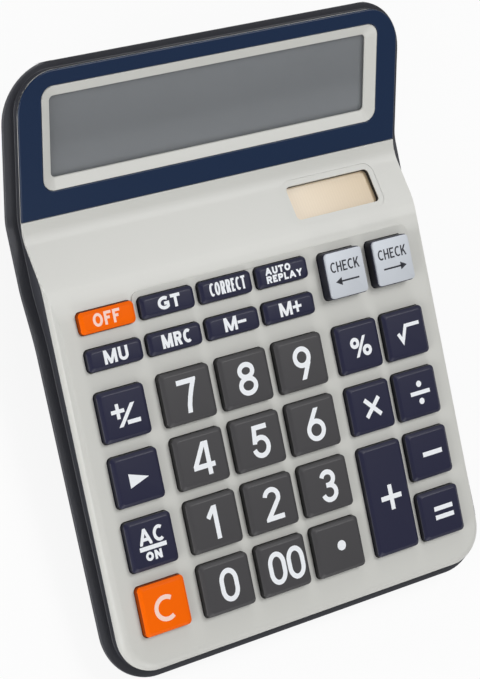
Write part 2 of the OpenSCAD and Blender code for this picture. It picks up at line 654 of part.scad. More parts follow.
// Floor under the dark panel's seat
module panel_floor() {
    difference() {
        intersection() {
            slab(contour(seat_depth, lip_grow), contour(head_under, lip_grow), lip_grow);
            head() translate([-shell_w, panel_y - shell_wall, -2 * head_under])
                cube([2 * shell_w, head_l, 3 * head_under]);
        }
        head() panel_seat();
    }
}
module top_shell() {
    color("#d4d4cf") difference() {
        union() {
            difference() {
                union() {
                    slab(contour(0, 0), joint_path(0, 0), 0);
                    slab(contour(seat_depth + bite, lip_grow), contour(ledge_depth - joint_gap, lip_grow),
                         lip_grow);
                }
                slab(contour(shell_wall, inner_grow), contour(ledge_depth + 1, inner_grow), inner_grow);
                deck() edge_waste();
                head() panel_seat();
            }
            raised_pad();
            panel_floor();
            // Frame that carries the sloping bezel up through the panel
            head() translate([0, window_y, 0])
                plate(window_w - 2 * panel_play, window_l - 2 * panel_play, window_r,
                      -head_under, head_under);
            for (p = BOARD_POSTS) deck() translate([p[0], p[1], -board_depth])
                cylinder(r = small_post_r, h = board_depth - shell_wall + bite);
            for (side = [-1, 1]) {
                deck() translate([side * front_post[0], front_post[1], -joint_depth])
                    cylinder(r = case_post_r, h = joint_depth - shell_wall + bite);
                slope() translate([side * valley_post[0], valley_post[1], -valley_joint_depth])
                    cylinder(r = case_post_r, h = valley_joint_depth - shell_wall + bite);
                head() translate([side * head_post[0], head_post[1], -head_joint_depth])
                    cylinder(r = case_post_r, h = head_joint_depth - head_under + bite);
            }
            for (p = DISPLAY_POSTS) head() translate([p[0], p[1], -holder_front])
                cylinder(r = small_post_r, h = holder_front - head_under + bite);
        }
        for (k = ALL_KEYS) deck() translate([k[0], k[1], 0]) {
            plate(k[2] + 2 * key_gap, k[3] + 2 * key_gap, key_r + key_gap, -shell_wall - 1, shell_wall + 3);
            // Level face for the key's lips where the deck already rolls over
            translate([0, 0, -shell_wall - 1])
                cube([k[2] - 2 * key_r + 2 * lip_side_gap, k[3] + 2 * (lip_w + lip_side_gap), 2],
                     center = true);
        }
        head() translate([0, window_y, 0]) {
            leaning_block(opening_w, opening_l, opening_r, -bezel_d,
                          window_w + 2 * bezel_w, window_l + 2 * bezel_w, window_r + bezel_w, bezel_d);
            plate(opening_w, opening_l, opening_r, -head_under - 1, head_under);
            plate(lens_w + 2 * pocket_play, lens_l + 2 * pocket_play, opening_r,
                  -head_under - 1, head_under + 1 - lens_front);
            plate(glass_w + 2 * pocket_play, glass_l + 2 * pocket_play, opening_r,
                  -head_under - 1, head_under + 1 - glass_front);
        }
        slope() translate([solar_x, solar_y, 0]) {
            plate(solar_w, solar_l, solar_r, -shell_wall - 1, shell_wall + 2);
            plate(solar_w + 2 * surround_w, solar_l + 2 * surround_w, solar_r + surround_w, -surround_d, 1);
            plate(frame_w + 0.3, frame_l + 0.3, solar_r, -shell_wall - 1, shell_wall + 1 - solar_lip);
        }
        for (p = BOARD_POSTS) deck() translate([p[0], p[1], -board_depth - 1])
            cylinder(r = small_pilot_r, h = board_depth - shell_wall + 1);
        for (side = [-1, 1]) {
            deck() translate([side * front_post[0], front_post[1], -joint_depth - 1])
                cylinder(r = case_pilot_r, h = joint_depth - shell_wall);
            slope() translate([side * valley_post[0], valley_post[1], -valley_joint_depth - 1])
                cylinder(r = case_pilot_r, h = valley_joint_depth - shell_wall);
            head() translate([side * head_post[0], head_post[1], -head_joint_depth - 1])
                cylinder(r = case_pilot_r, h = head_joint_depth - head_under + 0.5);
        }
        for (p = DISPLAY_POSTS) head() translate([p[0], p[1], -holder_front - 1])
            cylinder(r = small_pilot_r, h = holder_front - head_under + 1);
    }
}
// Deep middle of the case, or its cavity when inset is the wall
module belly(inset, top_depth) {
    z = foot_h + inset;
    y0 = belly_front + inset;
    y1 = belly_back - inset;
    lower = [to_deck([y0 - clear_off, z]), to_deck([y1 + 2 * clear_off, z])];
    intersection() {
        deck() rotate([90, 0, 90]) linear_extrude(belly_w, center = true)
            polygon(concat(lower, reversed(contour(top_depth - 1, -clear_off))));
        translate([0, deck_y + (y0 + y1) / 2, 0]) linear_extrude(4 * front_h)
            rounded_rect(belly_w - 2 * inset, y1 - y0, belly_r - inset);
        slab(contour(top_depth, -3), lowered(contour(top_depth, -3), 2 * front_h + tray_depth), -3);
    }
}
module bottom_case() {
    color("#2b2b2e") difference() {
        union() {
            difference() {
                union() {
                    slab(joint_path(-case_inset, joint_gap), rim_path(-case_inset), -case_inset);
                    slab(flange_top(), lowered(flange_top(), flange_t), flange_out,
                         [flange_front_r, flange_head_r], [flange_out_front, flange_out_head]);
                    slab(rim_path(tray_grow, bite), contour(tray_depth, tray_grow), tray_grow,
                         [corner_r + tray_grow, tray_head_r]);
                    belly(0, tray_depth - bite);
                }
                slab(contour(-clear_off, -case_inset - rim_wall),
                     contour(ledge_depth, -case_inset - rim_wall), -case_inset - rim_wall);
                slab(contour(ledge_depth - 1, tray_inner_grow),
                     contour(tray_depth - tray_floor, tray_inner_grow), tray_inner_grow,
                     [corner_r + tray_inner_grow, tray_head_r - tray_side]);
                belly(case_wall, tray_depth - tray_floor - 1);
            }
            battery_box();
            intersection() {
                case_bosses();
                slab(contour(ledge_depth, tray_grow), contour(tray_depth, tray_grow), tray_grow,
                     [corner_r + tray_grow, tray_head_r]);
            }
        }
        for (side = [-1, 1]) {
            deck() translate([side * front_post[0], front_post[1], 0]) case_screw_hole();
            slope() translate([side * valley_post[0], valley_post[1], 0]) case_screw_hole();
            head() translate([side * head_post[0], head_post[1], 0]) case_screw_hole();
        }
        cover_waste();
        for (p = FEET) translate([p[0], p[1], foot_h - eps]) cylinder(d = foot_d, h = foot_socket + eps);
    }
}
module case_bosses() {
    for (side = [-1, 1]) {
        deck() translate([side * front_post[0], front_post[1], -tray_depth - 1])
            cylinder(r = case_boss_r, h = tray_depth + 1 - joint_depth - joint_gap);
        slope() translate([side * valley_post[0], valley_post[1], -tray_depth - 1])
            cylinder(r = case_boss_r, h = tray_depth + 1 - valley_joint_depth - joint_gap);
        head() translate([side * head_post[0], head_post[1], -tray_depth - 1])
            cylinder(r = case_boss_r, h = tray_depth + 1 - head_joint_depth - joint_gap);
    }
}
module case_screw_hole() {
    translate([0, 0, -2 * tray_depth])
        cylinder(r = case_head_r + 0.3, h = 2 * tray_depth - case_screw_seat);
    translate([0, 0, -case_screw_seat - 1]) cylinder(r = case_hole_r, h = case_screw_seat);
}
// Box over the battery, open below
module battery_box() {
    translate([battery_x, bat_y, belly_floor - bite]) difference() {
        translate([0, 0, (box_h + box_wall + bite) / 2])
            cube([box_w + 2 * box_wall, box_l + 2 * box_wall, box_h + box_wall + bite], center = true);
        translate([0, 0, (box_h + bite) / 2 - 1]) cube([box_w, box_l, box_h + bite + 2], center = true);
        // Holes for the two leads
        translate([0, 0, bat_lead_z - belly_floor + bite]) rotate([0, 90, 0])
            cylinder(r = lead_r + 0.15, h = 2 * box_w, center = true);
    }
}
// Room for the battery cover, its tongues and the way it slides out at the rear
module cover_waste() {
    w = cover_w + 2 * cover_play;
    translate([battery_x - w / 2, cover_y0 - cover_play, 0]) cube([w, cover_l + clear_off, belly_floor]);
    translate([battery_x - w / 2 - tongue_w, cover_y0 - cover_play, tongue_z - cover_play])
        cube([w + 2 * tongue_w, cover_l + clear_off, tongue_t + 2 * cover_play]);
    translate([battery_x - box_w / 2, bat_y - box_l / 2, belly_floor - 1]) cube([box_w, box_l, 2]);
}

// ---- Display ----
module display_panel() {
    color("#22304f") head() difference() {
        translate([0, 0, -seat_depth]) linear_extrude(panel_t) panel_outline();
        translate([0, window_y, 0])
            plate(window_w, window_l, window_r + panel_play, -seat_depth - 1, panel_t + 2);
    }
}
// The panel: square at the valley, rounded at the top of the head
module panel_outline() {
    y0 = panel_y + panel_play;
    w = shell_w;
    translate([-w / 2, y0]) square([w, head_l - corner_r - y0]);
    translate([-w / 2 + corner_r, y0]) square([w - 2 * corner_r, head_l - y0]);
    for (side = [-1, 1]) translate([side * (w / 2 - corner_r), head_l - corner_r])
        circle(corner_r, $fn = 64);
}
module display_lens() {
    color("#e8eef0", 0.3) head() translate([0, window_y, 0])
        plate(lens_w, lens_l, opening_r, -glass_front, lens_t);
}
module lcd_glass() {
    color("#737577") head() translate([0, window_y, 0])
        plate(glass_w, glass_l, 0.5, -pad_front, glass_t);
}
module lcd_pad() {
    color("white") head() translate([0, window_y, 0])
        plate(glass_w - 2, glass_l - 2, 0.5, -holder_front, pad_t);
}
module lcd_holder() {
    color("#3a3a3c") head() difference() {
        translate([0, window_y, 0]) plate(holder_w, glass_l, holder_r, -holder_front - holder_t, holder_t);
        for (side = [-1, 1]) translate([side * head_post[0], head_post[1], -holder_front - holder_t - 1]) {
            cylinder(r = holder_slot_r, h = holder_t + 2);
            translate([side > 0 ? 0 : -clear_off, -holder_slot_r, 0])
                cube([clear_off, 2 * holder_slot_r, holder_t + 2]);
        }
        for (p = DISPLAY_POSTS) translate([p[0], p[1], -holder_front - holder_t - 1])
            cylinder(r = small_pilot_r + hole_play, h = holder_t + 2);
    }
}
// Ribbon from the lower edge of the glass, over the case's floor, to the underside of the board
module lcd_ribbon() {
    start = head_pt(window_y - glass_l / 2 + 0.6, pad_front);
    low = -tray_depth - 1.7;
    path = [
        start, start + [-1.6, -1.4], [val[0] + 3.5, low - 0.3], [deck_l + 10, low + 0.3],
        [board_end, board_bottom - 0.9], [board_end - 3, board_bottom], [board_end - 8, board_bottom]
    ];
    color("#b8862f") deck() rotate([90, 0, 90]) linear_extrude(ribbon_w, center = true)
        polygon(concat(path, reversed(lowered(path, ribbon_t))));
}

// ---- Solar window ----
module solar_frame() {
    color("#18181a") slope() translate([solar_x, solar_y, 0]) difference() {
        plate(frame_w, frame_l, solar_r, -frame_depth, frame_depth - solar_lip);
        plate(solar_w, solar_l, solar_r, -frame_depth - 1, frame_depth + 1);
        plate(cell_w + 0.2, cell_l + 0.2, 0.5, -frame_depth - 1, frame_depth + 1 - cell_front);
    }
}
module solar_cell() {
    color("#ead9bb") slope() translate([solar_x, solar_y, 0])
        plate(cell_w, cell_l, 0.4, -cell_front - cell_t, cell_t);
}
module solar_leads() {
    color("firebrick") deck() for (side = [-1, 1]) {
        x = solar_x + side * cell_w / 4;
        a = slope_pt(solar_y, cell_front + cell_t);
        b = slope_pt(solar_y, cell_front + cell_t + 2);
        lead([[x, a[0], a[1]], [x, b[0], b[1]], [x, board_end + 2, board_bottom - 2.4],
              [x, board_end - 4, board_bottom - 2.4], [x, board_end - 4, board_bottom]]);
    }
}

// ---- Board and key pad ----
module main_board() {
    color("#1f6b3a") deck() difference() {
        translate([-board_w / 2, board_front, board_bottom]) cube([board_w, board_l, board_t]);
        for (p = BOARD_POSTS) translate([p[0], p[1], board_bottom - 1])
            cylinder(r = small_pilot_r + hole_play, h = board_t + 2);
    }
}
// Chip under a drop of resin on the board's underside
module controller_chip() {
    drop_r = 8;
    drop_h = 3;
    ball_r = (drop_r * drop_r + drop_h * drop_h) / (2 * drop_h);
    color("#111111") deck() translate([col_x(1) + 1, row_y(2), board_bottom]) intersection() {
        translate([0, 0, ball_r - drop_h]) sphere(ball_r);
        translate([0, 0, -drop_h]) cylinder(r = drop_r, h = drop_h);
    }
}
// Capacitor and two small parts on the underside of the board
module board_parts() {
    capacitor = [6, 4, 2];
    chip_part = [3.2, 1.6, 1.6];
    color("#7a5a2a") deck() {
        translate([post_left_x + 4, row_y(2.5) + 4, board_bottom - capacitor[2]]) cube(capacitor);
        for (i = [1, 2]) translate([post_right_x + 6 * i, row_y(2) - 6, board_bottom - chip_part[2]])
            cube(chip_part);
    }
}
// Rubber sheet with a hollow dome under every key
module dome_sheet() {
    color("#9aa0a3") deck() difference() {
        union() {
            translate([-board_w / 2 + 1, board_front + 1, -board_depth])
                cube([board_w - 2, board_l - 2, sheet_t]);
            for (k = ALL_KEYS) translate([k[0], k[1], sheet_top - bite])
                cylinder(r1 = dome_foot_r, r2 = dome_top_r, h = dome_h + bite);
        }
        for (k = ALL_KEYS) translate([k[0], k[1], -board_depth - eps])
            cylinder(r1 = dome_foot_r - sheet_t, r2 = dome_top_r - sheet_t, h = sheet_t + dome_h - sheet_t);
        for (p = BOARD_POSTS) translate([p[0], p[1], -board_depth - 1])
            cylinder(r = small_post_r + 0.4, h = sheet_t + 2);
    }
}

// ---- Fasteners ----
module board_screws() {
    color("silver") for (p = BOARD_POSTS) deck() translate([p[0], p[1], board_bottom])
        screw(small_shank_r, small_head_r, board_t + 3.4);
}
module display_screws() {
    color("silver") for (p = DISPLAY_POSTS) head() translate([p[0], p[1], -holder_front - holder_t])
        screw(small_shank_r, small_head_r, holder_t + 3);
}
module case_screws() {
    color("silver") for (side = [-1, 1]) {
        deck() translate([side * front_post[0], front_post[1], -case_screw_seat])
            screw(case_shank_r, case_head_r, case_screw_l);
        slope() translate([side * valley_post[0], valley_post[1], -case_screw_seat])
            screw(case_shank_r, case_head_r, case_screw_l);
        head() translate([side * head_post[0], head_post[1], -case_screw_seat])
            screw(case_shank_r, case_head_r, case_screw_l);
    }
}

// ---- Battery and feet ----
module battery_cover() {
    color("#2b2b2e") difference() {
        union() {
            translate([battery_x - cover_w / 2, cover_y0, foot_h]) cube([cover_w, cover_l, case_wall]);
            translate([battery_x - cover_w / 2 - tongue_w, cover_y0, tongue_z])
                cube([cover_w + 2 * tongue_w, cover_l - belly_r / 2, tongue_t]);
        }
        // Finger grip
        for (i = [0 : 4]) translate([battery_x, cover_y0 + cover_l - 4 - 2 * i, foot_h])
            cube([cover_w * 0.3, 0.8, 0.8], center = true);
    }
}
module battery() {
    color("#c08a2c") translate([battery_x - battery_l / 2 - battery_cap_l / 2, bat_y, bat_z])
        rotate([0, 90, 0]) {
            cylinder(d = battery_d, h = battery_l, $fn = 64);
            translate([0, 0, battery_l - bite]) cylinder(r = battery_cap_r, h = battery_cap_l + bite);
        }
}
// Bent spring strip at each end: a flat back and a nose that bears on the battery
module battery_contacts() {
    flat = box_l - 5;
    strip = box_h - 6.6;
    reach = contact_room - 0.05;
    nose = [[0, -flat / 2], [contact_t, -flat / 2], [contact_t, -flat / 2 + 2], [reach, -1], [reach, 1],
            [contact_t, flat / 2 - 2], [contact_t, flat / 2], [0, flat / 2]];
    color("silver") for (side = [-1, 1])
        translate([battery_x - side * box_w / 2, bat_y, bat_z]) linear_extrude(strip, center = true)
            polygon([for (p = nose) [side * p[0], p[1]]]);
}
module battery_leads() {
    end = to_table([board_end - 2, board_bottom - lead_end_gap]);
    color("black") for (side = [-1, 1]) {
        x = battery_x + side * (box_w / 2 + box_wall + 1.5);
        lead([[battery_x + side * box_w / 2, bat_y, bat_lead_z], [x, bat_y, bat_lead_z],
              [x, deck_y + end[0], bat_lead_z], [x, deck_y + end[0], end[1]]]);
    }
}
module rubber_feet() {
    color("#1c1c1e") for (p = FEET) translate([p[0], p[1], 0])
        cylinder(d = foot_d - 0.1, h = foot_h + foot_socket);
}

// ---- Keys ----
// A key: bevelled cap, walls through the deck, lips that hold it in and a stem onto its dome
module key(x, y, w, l, h) {
    bevel_z = h - key_bevel_h;
    deck() translate([x, y, 0]) {
        difference() {
            union() {
                plate(w, l, key_r, key_bottom, bevel_z - key_bottom);
                leaning_block(w, l, key_r, bevel_z - eps,
                              w - 2 * key_bevel_w, l - 2 * key_bevel_w, key_r / 2, h);
                key_lips(w, l);
            }
            plate(w - 2 * key_wall, l - 2 * key_wall, key_r / 2, key_bottom - 1,
                  bevel_z - cap_skin - key_bottom + 1);
        }
        key_stem(bevel_z);
    }
}
module key_lips(w, l) {
    translate([-w / 2 + key_r, -l / 2 - lip_w, key_bottom]) cube([w - 2 * key_r, l + 2 * lip_w, lip_t]);
}
module key_stem(top) {
    translate([0, 0, stem_bottom]) cylinder(r = stem_r, h = top - cap_skin - stem_bottom + bite);
}
module main_key(col, row) {
    color("#4b4a4d") key(col_x(col), row_y(row), main_key_w, main_key_l, main_key_h);
}
module side_key(x, row) {
    color("#323343") key(x, row_y(row), side_key_w, side_key_l, side_key_h);
}
module small_key(col, y) {
    color("#323343") key(small_x(col), y, small_key_w, small_key_l, small_key_h);
}
// A check key: straight walls up to a separate plate
module check_key(x) {
    color("#323343") deck() translate([x, check_y, 0]) {
        difference() {
            union() {
                plate(check_key_w, check_key_l, key_r, key_bottom, check_key_h - key_bottom);
                key_lips(check_key_w, check_key_l);
            }
            plate(check_key_w - 2 * key_wall, check_key_l - 2 * key_wall, key_r / 2,
                  key_bottom - 1, check_key_h - key_wall - key_bottom + 1);
        }
        key_stem(check_key_h - key_wall + cap_skin);
    }
}
module check_cap(x) {
    color("#d2d6da") deck() translate([x, check_y, 0])
        plate(check_key_w - 2 * check_cap_step, check_key_l - 2 * check_cap_step, key_r - check_cap_step,
              check_key_h, check_cap_t);
}
module key_0() main_key(0, 0);
module key_00() main_key(1, 0);
module key_point() main_key(2, 0);
module key_1() main_key(0, 1);
module key_2() main_key(1, 1);
module key_3() main_key(2, 1);
module key_4() main_key(0, 2);
module key_5() main_key(1, 2);
module key_6() main_key(2, 2);
module key_7() main_key(0, 3);
module key_8() main_key(1, 3);
module key_9() main_key(2, 3);
module key_clear() color("#e65f0a") key(left_col_x, row_y(0), side_key_w, side_key_l, side_key_h);
module key_ac_on() side_key(left_col_x, 1);
module key_shift() side_key(left_col_x, 2);
module key_sign() side_key(left_col_x, 3);
module key_plus() color("#323343") key(right_col_x, row_y(0.5), side_key_w, tall_key_l, side_key_h);
module key_multiply() side_key(right_col_x, 2);
module key_percent() side_key(right_col_x, 3);
module key_equals() side_key(edge_col_x, 0);
module key_minus() side_key(edge_col_x, 1);
module key_divide() side_key(edge_col_x, 2);
module key_root() side_key(edge_col_x, 3);
module key_mu() small_key(0, small_row_b_y);
module key_mrc() small_key(1, small_row_b_y);
module key_m_minus() small_key(2, small_row_b_y);
module key_m_plus() small_key(3, small_row_b_y);
module key_off() color("#e65f0a") key(small_x(0), small_row_a_y, small_key_w, small_key_l, small_key_h);
module key_gt() small_key(1, small_row_a_y);
module key_correct() small_key(2, small_row_a_y);
module key_replay() small_key(3, small_row_a_y);
module key_check_back() check_key(right_col_x - check_aside);
module key_check_next() check_key(edge_col_x - check_aside);
module cap_check_back() check_cap(right_col_x - check_aside);
module cap_check_next() check_cap(edge_col_x - check_aside);

top_shell();
bottom_case();
display_panel();
display_lens();
lcd_glass();
lcd_pad();
lcd_holder();
lcd_ribbon();
solar_frame();
solar_cell();
solar_leads();
main_board();
controller_chip();
board_parts();
dome_sheet();
board_screws();
display_screws();
case_screws();
battery_cover();
battery();
battery_contacts();
battery_leads();
rubber_feet();
key_0();
key_00();
key_point();
key_1();
key_2();
key_3();
key_4();
key_5();
key_6();
key_7();
key_8();
key_9();
key_clear();
key_ac_on();
key_shift();
key_sign();
key_plus();
key_multiply();
key_percent();
key_equals();
key_minus();
key_divide();
key_root();
key_mu();
key_mrc();
key_m_minus();
key_m_plus();
key_off();
key_gt();
key_correct();
key_replay();
key_check_back();
key_check_next();
cap_check_back();
cap_check_next();
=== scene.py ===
# Desk calculator with a tilted display head, a solar window and thirty-three sprung keys.
# Metres throughout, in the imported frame: origin on the table, +Y towards the display, +Z up.
import math
import bmesh
import bpy
from mathutils import Matrix, Vector


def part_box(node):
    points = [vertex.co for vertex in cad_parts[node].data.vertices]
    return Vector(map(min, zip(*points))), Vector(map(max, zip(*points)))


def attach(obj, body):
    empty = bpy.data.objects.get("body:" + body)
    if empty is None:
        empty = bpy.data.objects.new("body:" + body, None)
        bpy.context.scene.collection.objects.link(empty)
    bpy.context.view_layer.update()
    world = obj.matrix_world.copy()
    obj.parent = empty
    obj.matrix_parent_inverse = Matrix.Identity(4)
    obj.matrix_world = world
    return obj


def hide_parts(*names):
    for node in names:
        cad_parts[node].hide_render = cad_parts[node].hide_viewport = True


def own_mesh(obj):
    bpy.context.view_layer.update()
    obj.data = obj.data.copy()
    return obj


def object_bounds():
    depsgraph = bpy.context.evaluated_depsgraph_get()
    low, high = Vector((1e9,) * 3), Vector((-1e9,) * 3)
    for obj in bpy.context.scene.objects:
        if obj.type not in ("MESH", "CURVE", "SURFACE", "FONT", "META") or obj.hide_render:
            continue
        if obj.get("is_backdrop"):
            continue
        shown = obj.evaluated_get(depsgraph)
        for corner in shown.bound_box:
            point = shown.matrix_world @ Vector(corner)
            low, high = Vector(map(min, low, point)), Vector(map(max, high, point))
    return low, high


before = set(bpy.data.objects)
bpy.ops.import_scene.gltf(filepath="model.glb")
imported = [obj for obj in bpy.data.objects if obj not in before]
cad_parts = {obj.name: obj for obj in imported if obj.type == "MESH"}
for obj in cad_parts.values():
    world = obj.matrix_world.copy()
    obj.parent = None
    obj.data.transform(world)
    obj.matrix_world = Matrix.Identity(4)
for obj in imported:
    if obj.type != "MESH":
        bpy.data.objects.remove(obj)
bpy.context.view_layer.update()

# ---- Camera ----
# A long lens high above the left side looks down across the keys. It is turned so that the rows
# of keys climb to the right.
MM = 0.001
# Height of the sensor and focal length, in mm
SENSOR_H = 36
LENS = 127.2
NEAREST = 10 * MM
CAMERA_PLACE = Vector((-411.05, 10.78, 663.18)) * MM
CAMERA_TURN = [math.radians(angle) for angle in (8.316, -31.274, -17.358)]
scene = bpy.context.scene


def linked(name, data):
    """Adds an object with this data to the scene."""
    obj = bpy.data.objects.new(name, data)
    scene.collection.objects.link(obj)
    return obj


camera_data = bpy.data.cameras.new("camera")
camera_data.sensor_fit = "VERTICAL"
camera_data.sensor_height = SENSOR_H
camera_data.lens = LENS
camera_data.clip_start = NEAREST
camera = linked("camera", camera_data)
camera.location = CAMERA_PLACE
camera.rotation_euler = CAMERA_TURN
scene.camera = camera
scene.view_settings.view_transform = "Standard"

# ---- Top shell ----
# One light grey moulding in satin ABS: a key deck that leans up to the rear, a valley, and the
# raised frame of the display head. It snaps into the case's rim and takes the screws. Each of the
# three faces has a frame of its own: +Z stands out of the face, +Y runs up along it.
DECK_TILT = math.radians(6)
DECK_FRONT_H = 14 * MM
DECK_L = 116 * MM
VALLEY_SLOPE = math.radians(18.5)
VALLEY_L = 24.8 * MM
HEAD_TILT = math.radians(20.7)
EDGE_R = 3 * MM
SOFT_EDGE = 0.16 * MM
WELD = 0.002 * MM
FLAT_WITHIN = math.radians(0.4)
# Shared by all finishes: fineness of the mottle and the grain, and how far the roughness strays
CLOUDS_PER_M = 60
CLOUD_DETAIL = 4
GRAIN_DETAIL = 3
GRAIN_STRENGTH = 0.35
SMOOTHER_BY = 0.05
ROUGHER_BY = 0.07
shell_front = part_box("top_shell")[0][1]
# The deck's plane starts a little before the rounded front edge.
deck_front = shell_front - EDGE_R * (math.cos(DECK_TILT) + math.sin(DECK_TILT) - 1)


def turned(angle):
    """Turn round the X axis."""
    return Matrix.Rotation(angle, 4, "X")


def moved(x, y, z):
    """Shift along the three axes."""
    return Matrix.Translation((x, y, z))


DECK = moved(0, deck_front, DECK_FRONT_H) @ turned(DECK_TILT)
SLOPE = DECK @ moved(0, DECK_L, 0) @ turned(-VALLEY_SLOPE)
HEAD = SLOPE @ moved(0, VALLEY_L, 0) @ turned(VALLEY_SLOPE + HEAD_TILT)


def colour(r, g, b):
    """Linear colour from display values of 0 to 255, by the usual display curve."""
    linear = [v / 255 / 12.92 if v <= 10 else ((v / 255 + 0.055) / 1.055) ** 2.4
              for v in (r, g, b)]
    return (*linear, 1.0)


def mixed(material, factor, a, b, blend="MIX"):
    """Colour a with colour b laid over it by the factor; a may also be a socket."""
    nodes, links = material.node_tree.nodes, material.node_tree.links
    mix = nodes.new("ShaderNodeMix")
    mix.data_type = "RGBA"
    mix.blend_type = blend
    if isinstance(a, bpy.types.NodeSocket):
        links.new(a, mix.inputs["A"])
    else:
        mix.inputs["A"].default_value = a
    mix.inputs["B"].default_value = b
    links.new(factor, mix.inputs["Factor"])
    return mix.outputs["Result"]


def finish(name, base, rough, grain=0.25, grain_depth=0.02, mottle=0.04, coat=0.0, metal=0.0,
           specular=0.5):
    """A plastic, rubber or metal with a faint mottle, and a grain with its size and depth in mm."""
    material = bpy.data.materials.new(name)
    material.use_nodes = True
    nodes, links = material.node_tree.nodes, material.node_tree.links
    shader = nodes["Principled BSDF"]
    shader.inputs["Base Color"].default_value = base
    shader.inputs["Roughness"].default_value = rough
    shader.inputs["Coat Weight"].default_value = coat
    shader.inputs["Metallic"].default_value = metal
    shader.inputs["Specular IOR Level"].default_value = specular
    place = nodes.new("ShaderNodeTexCoord")
    cloud = nodes.new("ShaderNodeTexNoise")
    cloud.inputs["Scale"].default_value = CLOUDS_PER_M
    cloud.inputs["Detail"].default_value = CLOUD_DETAIL
    links.new(place.outputs["Object"], cloud.inputs["Vector"])
    darker = [c * (1 - mottle) for c in base[:3]] + [1]
    lighter = [min(1, c * (1 + mottle)) for c in base[:3]] + [1]
    links.new(mixed(material, cloud.outputs["Fac"], darker, lighter), shader.inputs["Base Color"])
    pits = nodes.new("ShaderNodeTexNoise")
    pits.inputs["Scale"].default_value = 1 / (grain * MM)
    pits.inputs["Detail"].default_value = GRAIN_DETAIL
    links.new(place.outputs["Object"], pits.inputs["Vector"])
    wear = nodes.new("ShaderNodeMapRange")
    wear.inputs["To Min"].default_value = rough - SMOOTHER_BY
    wear.inputs["To Max"].default_value = rough + ROUGHER_BY
    links.new(pits.outputs["Fac"], wear.inputs["Value"])
    links.new(wear.outputs["Result"], shader.inputs["Roughness"])
    bump = nodes.new("ShaderNodeBump")
    bump.inputs["Strength"].default_value = GRAIN_STRENGTH
    bump.inputs["Distance"].default_value = grain_depth * MM
    links.new(pits.outputs["Fac"], bump.inputs["Height"])
    links.new(bump.outputs["Normal"], shader.inputs["Normal"])
    return material


def paint(material, *objects):
    """One finish on every slot of the objects."""
    for obj in objects:
        if not obj.material_slots:
            obj.data.materials.append(material)
        for slot in obj.material_slots:
            slot.material = material


def node(name):
    """The CAD piece of this name."""
    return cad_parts[name]


def shaded(obj, angle=32):
    """Smooth shading with an edge wherever two faces meet at more than the angle."""
    obj.data.shade_smooth()
    obj.data.set_sharp_from_angle(angle=math.radians(angle))


def mesh_of(name, bm):
    """Writes the points and faces into a mesh."""
    mesh = bpy.data.meshes.new(name)
    bm.to_mesh(mesh)
    bm.free()
    return mesh


def placed(name, bm, body, material, place=Matrix.Identity(4), replaces=()):
    """Makes a piece of a mesh built at a face's origin, and lets it ride on its body."""
    bmesh.ops.transform(bm, matrix=place, verts=bm.verts)
    obj = linked(name, mesh_of(name, bm))
    paint(material, obj)
    shaded(obj)
    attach(obj, body)
    if replaces:
        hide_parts(*replaces)
    return obj


def welded(name, flat_to=None):
    """The CAD piece's own shape with its points joined. Where a face is given, the flat parts
    before its start are made whole."""
    bm = bmesh.new()
    bm.from_mesh(node(name).data)
    bmesh.ops.remove_doubles(bm, verts=bm.verts, dist=WELD)
    if flat_to:
        back = flat_to.inverted()
        inner = [e for e in bm.edges if max((back @ v.co).y for v in e.verts) < 0]
        bmesh.ops.dissolve_limit(bm, angle_limit=FLAT_WITHIN, verts=[], edges=inner)
    return bm


def eased(obj, face, width=SOFT_EDGE, segments=2, angle=50):
    """Takes the sharpness off the mould edges that lie beyond the start of a face."""
    back = face.inverted()
    bm = bmesh.new()
    bm.from_mesh(obj.data)
    weight = bm.edges.layers.float.new("bevel_weight_edge")
    for edge in bm.edges:
        if len(edge.link_faces) == 2 and edge.calc_face_angle() > math.radians(angle):
            edge[weight] = min((back @ v.co).y for v in edge.verts) > 0
    bm.to_mesh(obj.data)
    bm.free()
    ease = obj.modifiers.new("eased edges", "BEVEL")
    ease.width = width
    ease.segments = segments
    ease.limit_method = "WEIGHT"
    ease.use_clamp_overlap = False
    ease.miter_outer = "MITER_ARC"
    even = obj.modifiers.new("even shading", "WEIGHTED_NORMAL")
    even.keep_sharp = True


shell_plastic = finish("shell_plastic", colour(209, 209, 204), 0.36, grain=0.3,
                       grain_depth=0.012, mottle=0.012)
top_shell = placed("shell", welded("top_shell", HEAD), "base", shell_plastic,
                   replaces=["top_shell"])
eased(top_shell, HEAD)

# ---- Bottom case ----
# Near-black moulding: upright rim round the shell's lip, sloping flange, shallow tray and the deep
# belly that holds the battery box and stands on the feet.
CASE_EDGE = 0.2 * MM
BEFORE_ALL = moved(0, -1, 0)
case_plastic = finish("case_plastic", colour(60, 61, 67), 0.36, grain=0.35, grain_depth=0.03,
                      mottle=0.05)
bottom_case = placed("case", welded("bottom_case"), "base", case_plastic,
                     replaces=["bottom_case"])
eased(bottom_case, BEFORE_ALL, width=CASE_EDGE)

# ---- Display panel ----
# Navy plate moulded with a thin chamfer round it and a window for the display. It is held in its
# seat round the shell's bezel.
PANEL_EDGE = 0.3 * MM
panel_plastic = finish("panel_plastic", colour(17, 39, 70), 0.3, grain=0.4, grain_depth=0.006,
                       mottle=0.02, specular=0.35)
panel = placed("panel", welded("display_panel"), "base", panel_plastic,
               replaces=["display_panel"])
eased(panel, HEAD, width=PANEL_EDGE)

